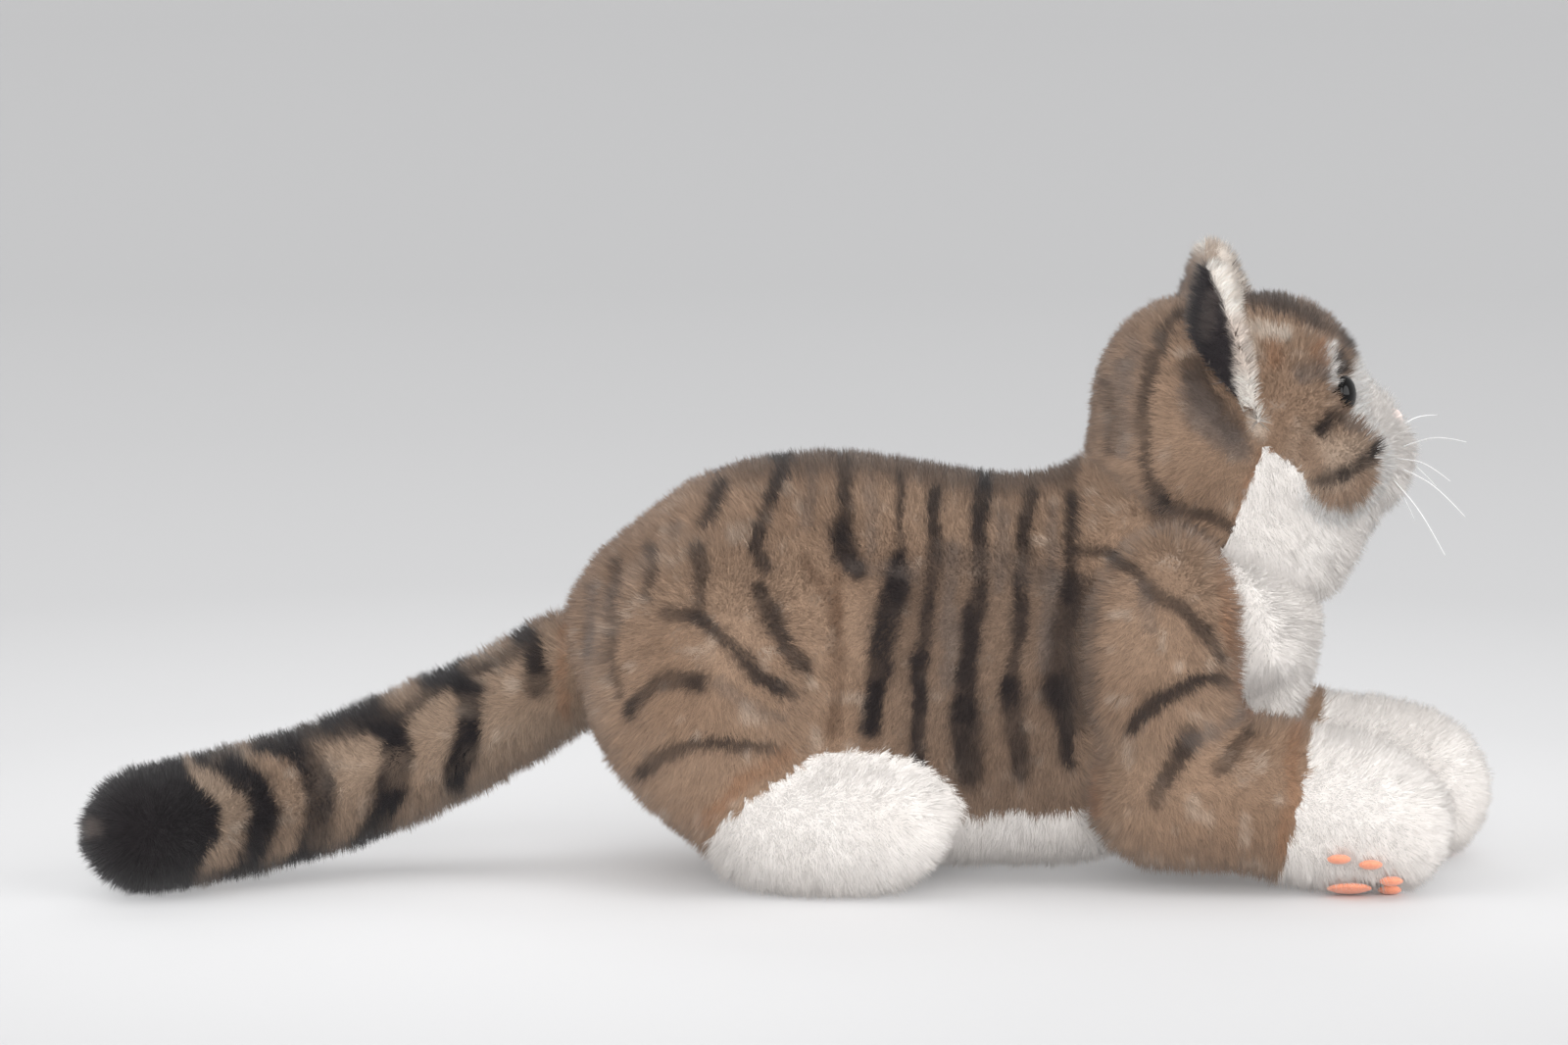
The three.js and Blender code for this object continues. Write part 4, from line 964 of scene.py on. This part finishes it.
# ---- small pieces ----
def as_tree(mesh, reach):
    """A search tree of a small piece, its box in mm and how far the pile keeps from it."""
    verts, faces = triangles(mesh)
    tree = BVHTree.FromPolygons(verts.tolist(), faces.tolist())
    return tree, verts.min(0) / MM, verts.max(0) / MM, reach


def soft_copy(node, name, mat, body, slot, voxel, rounds, reach, shift=(0, 0, 0)):
    """A smooth stuffed copy of a small sewn piece."""
    verts, faces = weld(*arrays([node]))
    obj = remeshed(name, verts + np.array(shift) * MM, faces, voxel, rounds)
    obj.data.shade_smooth()
    obj.data.materials.append(mat)
    carry(obj, slot, [node], body)
    return as_tree(obj.data, reach)


def ring_faces(rows, around):
    """Faces that join rows of points, each row a closed ring."""
    faces = []
    for i in range(rows - 1):
        for k in range(around):
            a, b = i * around + k, i * around + (k + 1) % around
            faces.append((a, b, b + around, a + around))
    return faces


EYE_TILT, EYE_OUT = math.radians(8), math.radians(25)
EYE_RADIUS, EYE_DOME, EYE_SINK = 6.2, 3.4, 3.9
EYE_RIM_AND_STEM = [(6.0, -0.5), (5.2, -0.9), (2.0, -0.9), (1.9, -8.0), (0, -8.4)]


def eye_object(s):
    """A glossy safety eye: a domed button on its stem, turned about the CAD eye's axis."""
    out = EYE_OUT * (-1 if s == "right" else 1)
    level = math.cos(EYE_TILT)
    axis = np.array([level * math.cos(out), level * math.sin(out), math.sin(EYE_TILT)])
    verts, _ = arrays([f"eye_{s}"])
    centre = verts.mean(0)
    top = centre + axis * ((verts @ axis).max() - centre @ axis)
    first = unit(np.cross(axis, [0, 0, 1.0]))
    second = np.cross(axis, first)
    profile = []
    for angle in np.linspace(0, math.pi / 2, 13):
        profile.append((EYE_RADIUS * math.sin(angle), EYE_DOME * math.cos(angle)))
    profile += EYE_RIM_AND_STEM
    around = 48
    rows = []
    for r, h in profile:
        for angle in np.arange(around) * (2 * math.pi / around):
            ring = (first * math.cos(angle) + second * math.sin(angle)) * max(r, 0.01)
            rows.append(top + (axis * (h - EYE_SINK) + ring) * MM)
    mesh = mesh_from(f"eye_button_{s}", np.array(rows), ring_faces(len(profile), around))
    mesh.materials.append(EYE_GLOSS)
    carry(link(mesh.name, mesh), "eye_plastic", [f"eye_{s}"], "head")
    return as_tree(mesh, 1.5)


def tube(name, path, radii, mat, body, node, slot):
    """A round thread along a path in metres, tapered by its radii."""
    around = 8
    along = unit(np.gradient(path, axis=0))
    side = unit(np.cross(along, [0.13, 0.21, 0.97]))
    rise = np.cross(along, side)
    rings = []
    for angle in np.arange(around) * (2 * math.pi / around):
        ring = side * math.cos(angle) + rise * math.sin(angle)
        rings.append(path + ring * np.array(radii)[:, None] * MM)
    faces = ring_faces(len(path), around)
    last = (len(path) - 1) * around
    faces.append(tuple(range(around))[::-1])
    faces.append(tuple(range(last, last + around)))
    mesh = mesh_from(name, np.stack(rings, 1).reshape(-1, 3), faces)
    mesh.materials.append(mat)
    carry(link(name, mesh), slot, [node], body)


def middle_line(node, count, start):
    """The centre line of a thin CAD node, from its end nearest to start."""
    verts, _ = arrays([node])
    reach = np.linalg.norm(verts - start, axis=1)
    bins = np.linspace(reach.min(), reach.max() + 1e-9, count + 1)
    pieces = [verts[(reach >= a) & (reach < b)] for a, b in zip(bins[:-1], bins[1:])]
    return np.array([piece.mean(0) for piece in pieces if len(piece)])


def smooth_line(points, count):
    """More points along a line, rounded."""
    for _ in range(3):
        cut = [points[0]]
        for a, b in zip(points[:-1], points[1:]):
            cut += [a * 0.75 + b * 0.25, a * 0.25 + b * 0.75]
        cut.append(points[-1])
        points = np.array(cut)
    step = np.r_[0, np.cumsum(np.linalg.norm(np.diff(points, axis=0), axis=1))]
    at = np.linspace(0, step[-1], count)
    return np.stack([np.interp(at, step, points[:, k]) for k in range(3)], 1)


def mouth_thread(sink=2.4):
    """The sewn mouth, sunk into the muzzle's pile."""
    verts, faces = arrays(["mouth_stitch"])
    inward = unit(verts - MUZZLE_MIDDLE)
    obj = link("mouth_thread", mesh_from("mouth_thread", verts - inward * sink * MM, faces))
    obj.data.materials.append(THREAD)
    carry(obj, "thread", ["mouth_stitch"], "head")
    return as_tree(obj.data, 1.3)


NOSE_SHIFT = (-3.0, 0, -0.8)
FACE_MIDDLE = np.array([160.0, 0, 150.0]) * MM
MUZZLE_MIDDLE = np.array([180.0, 0, 152]) * MM
WHISKER_RADII = np.linspace(0.26, 0.09, 20)
nose = soft_copy("nose", "nose_pad", NOSE_CLOTH, "head", "nose_fabric", 0.5, 4, 1.2, NOSE_SHIFT)
sole_pieces = {}
for s in SIDES:
    sewn_on = PAD_CLOTH, f"foreleg_{s}", "pad_fabric"
    sole_pieces[s] = [soft_copy(f"paw_pad_{s}", f"sole_pad_{s}", *sewn_on, 0.5, 3, 3.2)]
    for i in range(1, 5):
        toe = soft_copy(f"toe_pad_{i}_{s}", f"toe_bean_{i}_{s}", *sewn_on, 0.4, 3, 3.0)
        sole_pieces[s].append(toe)
face_pieces = [nose, *(eye_object(s) for s in SIDES)]
for s in SIDES:
    for i in range(1, 5):
        node = f"whisker_{s}_{i}"
        line = smooth_line(middle_line(node, 9, FACE_MIDDLE), len(WHISKER_RADII))
        tube(f"{node}_hair", line, WHISKER_RADII, NYLON, "head", node, "whisker_nylon")

# ---- the dressed parts ----
# White coats keep less painted shade at the roots and less painted light at the tips.
WHITE_LOOK = {"root_tone_and_shade": 0.93, "tip_tone_and_light": 1.04, "spread": 0.04}
EAR_SIZES = {"length": 5.6, "lean": 34, "width": 0.34, "density": 5.2}
TABBY, WHITE_SLOT = "tabby_plush", "white_plush"
on_neck = {"bend": NECK}
on_torso = {"body": "torso"}


def white_pile(comb, **sizes):
    return Coat(white_coat, comb, **WHITE_LOOK, **sizes)


def dress(names, skin, part, coat, slot, stands_for, carried, hidden_by=(), clear=()):
    """The backing and the pile of one part of a skin."""
    skin_name, pile_name = names
    skin_object(skin_name, skin, part, coat.colour, slot, stands_for, **carried)
    tuft_object(pile_name, pile(skin, part, coat, hidden_by, None, clear), slot, **carried)


def plain_torso(p):
    return ~is_bib(p) & ~is_belly(p)


def plain_belly(p):
    return is_belly(p) & ~is_bib(p)


near = [(forelegs[s], 2) for s in SIDES] + [(head, 3), (tail, 3)]
stuffed = ["torso_cover", "torso_stuffing"]
torso_layers = [
    ("torso", Coat(torso_colour, comb_torso), TABBY, stuffed, plain_torso),
    ("chest_bib", white_pile(comb_torso), WHITE_SLOT, ["chest_bib"], is_bib),
    ("belly", white_pile(comb_torso), WHITE_SLOT, ["belly_panel"], plain_belly),
]
for name, coat, slot, stands_for, where in torso_layers:
    skin_object(f"{name}_skin", trunk, "torso", coat.colour, slot, stands_for, where, **on_neck)
for name, coat, slot, _, where in torso_layers:
    tuft_object(f"{name}_pile", pile(trunk, "torso", coat, near, where), slot, **on_neck)
for s in SIDES:
    thigh = [f"thigh_cover_{s}", f"hind_stuffing_{s}"]
    coat = Coat(thigh_colour, combed(-0.35, -1.0))
    names = f"thigh_skin_{s}", f"thigh_pile_{s}"
    dress(names, trunk, f"thigh_{s}", coat, TABBY, thigh, on_torso)
    foot = f"hind_foot_{s}"
    names = f"hind_foot_skin_{s}", f"hind_foot_pile_{s}"
    dress(names, trunk, foot, white_pile(combed(1.0, -0.45)), WHITE_SLOT, [foot], on_torso)

around = [(trunk, 2)] + [(ears[s], 1) for s in SIDES]
names = "head_skin", "head_pile"
coat = Coat(head_colour, comb_head, length=6.4)
stands_for = ["head_cover", "head_stuffing"]
dress(names, head, "head", coat, TABBY, stands_for, on_neck, around, face_pieces)
names = "throat_skin", "throat_pile"
coat = white_pile(combed(-0.3, -1.0))
dress(names, head, "throat", coat, WHITE_SLOT, ["throat_panel"], on_neck, around)
coat = white_pile(comb_head, length=7.4, lean=24)
skin_object("muzzle_skin", head, "muzzle", coat.colour, WHITE_SLOT, ["muzzle_pad"], **on_neck)
face_pieces.append(mouth_thread())
tufts = pile(head, "muzzle", coat, around, clear=face_pieces)
tuft_object("muzzle_pile", tufts, WHITE_SLOT, **on_neck)
for s, tip in zip(SIDES, (RIGHT_EAR_TIP, LEFT_EAR_TIP)):
    on_ear = {"bend": EAR_BEND[s]}
    back = Coat(ear_back_colour, combed_to(tip), **EAR_SIZES)
    lining = Coat(ear_lining_colour, combed_to(tip), **EAR_SIZES, **WHITE_LOOK)
    ear_layers = [("cover", "ear", back, TABBY), ("lining", "ear_lining", lining, "ear_plush")]
    for part, _, coat, slot in ear_layers:
        name, node = f"ear_{part}_skin_{s}", f"ear_{part}_{s}"
        skin_object(name, ears[s], part, coat.colour, slot, [node], fill=0.3, **on_ear)
    for part, name, coat, slot in ear_layers:
        tufts = pile(ears[s], part, coat, [(head, 4)])
        tuft_object(f"{name}_pile_{s}", tufts, slot, **on_ear)

names = "tail_skin", "tail_pile"
coat = Coat(tail_colour, combed(-1.0, -0.25))
stands_for = ["tail_cover", "tail_stuffing"]
dress(names, tail, "tail", coat, TABBY, stands_for, {"body": "tail"}, [(trunk, 6)])

for s in SIDES:
    on_leg = {"bend": SHOULDER_BEND[s]}
    names = f"foreleg_skin_{s}", f"foreleg_pile_{s}"
    coat = Coat(foreleg_colour, comb_foreleg)
    stands_for = [f"foreleg_cover_{s}", f"foreleg_stuffing_{s}"]
    dress(names, forelegs[s], "foreleg", coat, TABBY, stands_for, on_leg, [(trunk, 3)])
    names = f"forepaw_skin_{s}", f"forepaw_pile_{s}"
    coat = white_pile(combed(1.0, -0.45), length=6.4)
    stands_for = [f"forepaw_cover_{s}"]
    soles = sole_pieces[s]
    dress(names, forelegs[s], "forepaw", coat, WHITE_SLOT, stands_for, on_leg, clear=soles)

for name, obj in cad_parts.items():
    obj.data.materials.clear()
    obj.data.materials.append(WASHER if "washer" in name else FILLING)

# ---- floor, light and camera ----
FLOOR_REACH = 30  # metres
LIGHT_POOL_REACH = 8.0  # metres, over which the floor's grey changes
# Painted light: the floor's grey is lightest near the middle and darker further off, a painted pool of
# light fading out.
PAINTED_LIGHT_POOL = [(0.0, 226), (0.02, 222), (0.055, 202), (0.1, 186), (0.19, 178), (0.32, 171), (1.0, 167)]
r = FLOOR_REACH
floor_corners = np.array([(-r, -r, 0), (r, -r, 0), (r, r, 0), (-r, r, 0)], float)
floor_mesh = mesh_from("floor", floor_corners, [(0, 1, 2, 3)])
floor = link("floor", floor_mesh)
floor_mat, nodes, links, shader = material("floor_paper")
place = nodes.new("ShaderNodeTexCoord")
reach = nodes.new("ShaderNodeVectorMath")
reach.operation = "LENGTH"
links.new(place.outputs["Object"], reach.inputs[0])
spread = nodes.new("ShaderNodeMapRange")
spread.inputs["From Min"].default_value = 0.0
spread.inputs["From Max"].default_value = LIGHT_POOL_REACH
links.new(reach.outputs["Value"], spread.inputs["Value"])
light_pool_ramp = nodes.new("ShaderNodeValToRGB")
while len(light_pool_ramp.color_ramp.elements) < len(PAINTED_LIGHT_POOL):
    light_pool_ramp.color_ramp.elements.new(0.5)
for element, (position, level) in zip(light_pool_ramp.color_ramp.elements, PAINTED_LIGHT_POOL):
    element.position = position
    element.color = (*linear(level, level, level + 1), 1)
links.new(spread.outputs["Result"], light_pool_ramp.inputs["Fac"])
links.new(light_pool_ramp.outputs["Color"], shader.inputs["Base Color"])
shader.inputs["Roughness"].default_value = 0.9
shader.inputs["Specular IOR Level"].default_value = 0.1
floor_mesh.materials.append(floor_mat)

world = bpy.data.worlds.new("studio")
bpy.context.scene.world = world
world.use_nodes = True
world.node_tree.nodes["Background"].inputs["Color"].default_value = (1, 1, 1, 1)
world.node_tree.nodes["Background"].inputs["Strength"].default_value = 0.55

# Soft suns: the side that each comes from, its strength and its spread in degrees
LIGHTS = {
    "key_light": ((0.0, -0.92, 0.38), 1.3, 40),
    "right_light": ((0.85, -0.5, 0.15), 2.4, 60),
    "left_light": ((-0.9, -0.3, 0.3), 1.2, 60),
    "back_light": ((0.0, 0.95, 0.35), 1.0, 60),
    "top_light": ((-0.1, -0.1, 1.0), 0.75, 60),
}
for name, (place, strength, spread) in LIGHTS.items():
    data = bpy.data.lights.new(name, "SUN")
    data.energy = strength
    data.angle = math.radians(spread)
    link(name, data).rotation_euler = (-Vector(place)).to_track_quat("-Z", "Y").to_euler()

camera_data = bpy.data.cameras.new("photo_camera")
camera_data.lens = LENS
camera_data.sensor_width = SENSOR
camera = link("photo_camera", camera_data)
camera.location = Vector(EYE * MM)
camera.rotation_euler = Vector(FORWARD).to_track_quat("-Z", "Y").to_euler()
bpy.context.scene.camera = camera
bpy.context.scene.view_settings.view_transform = "Standard"
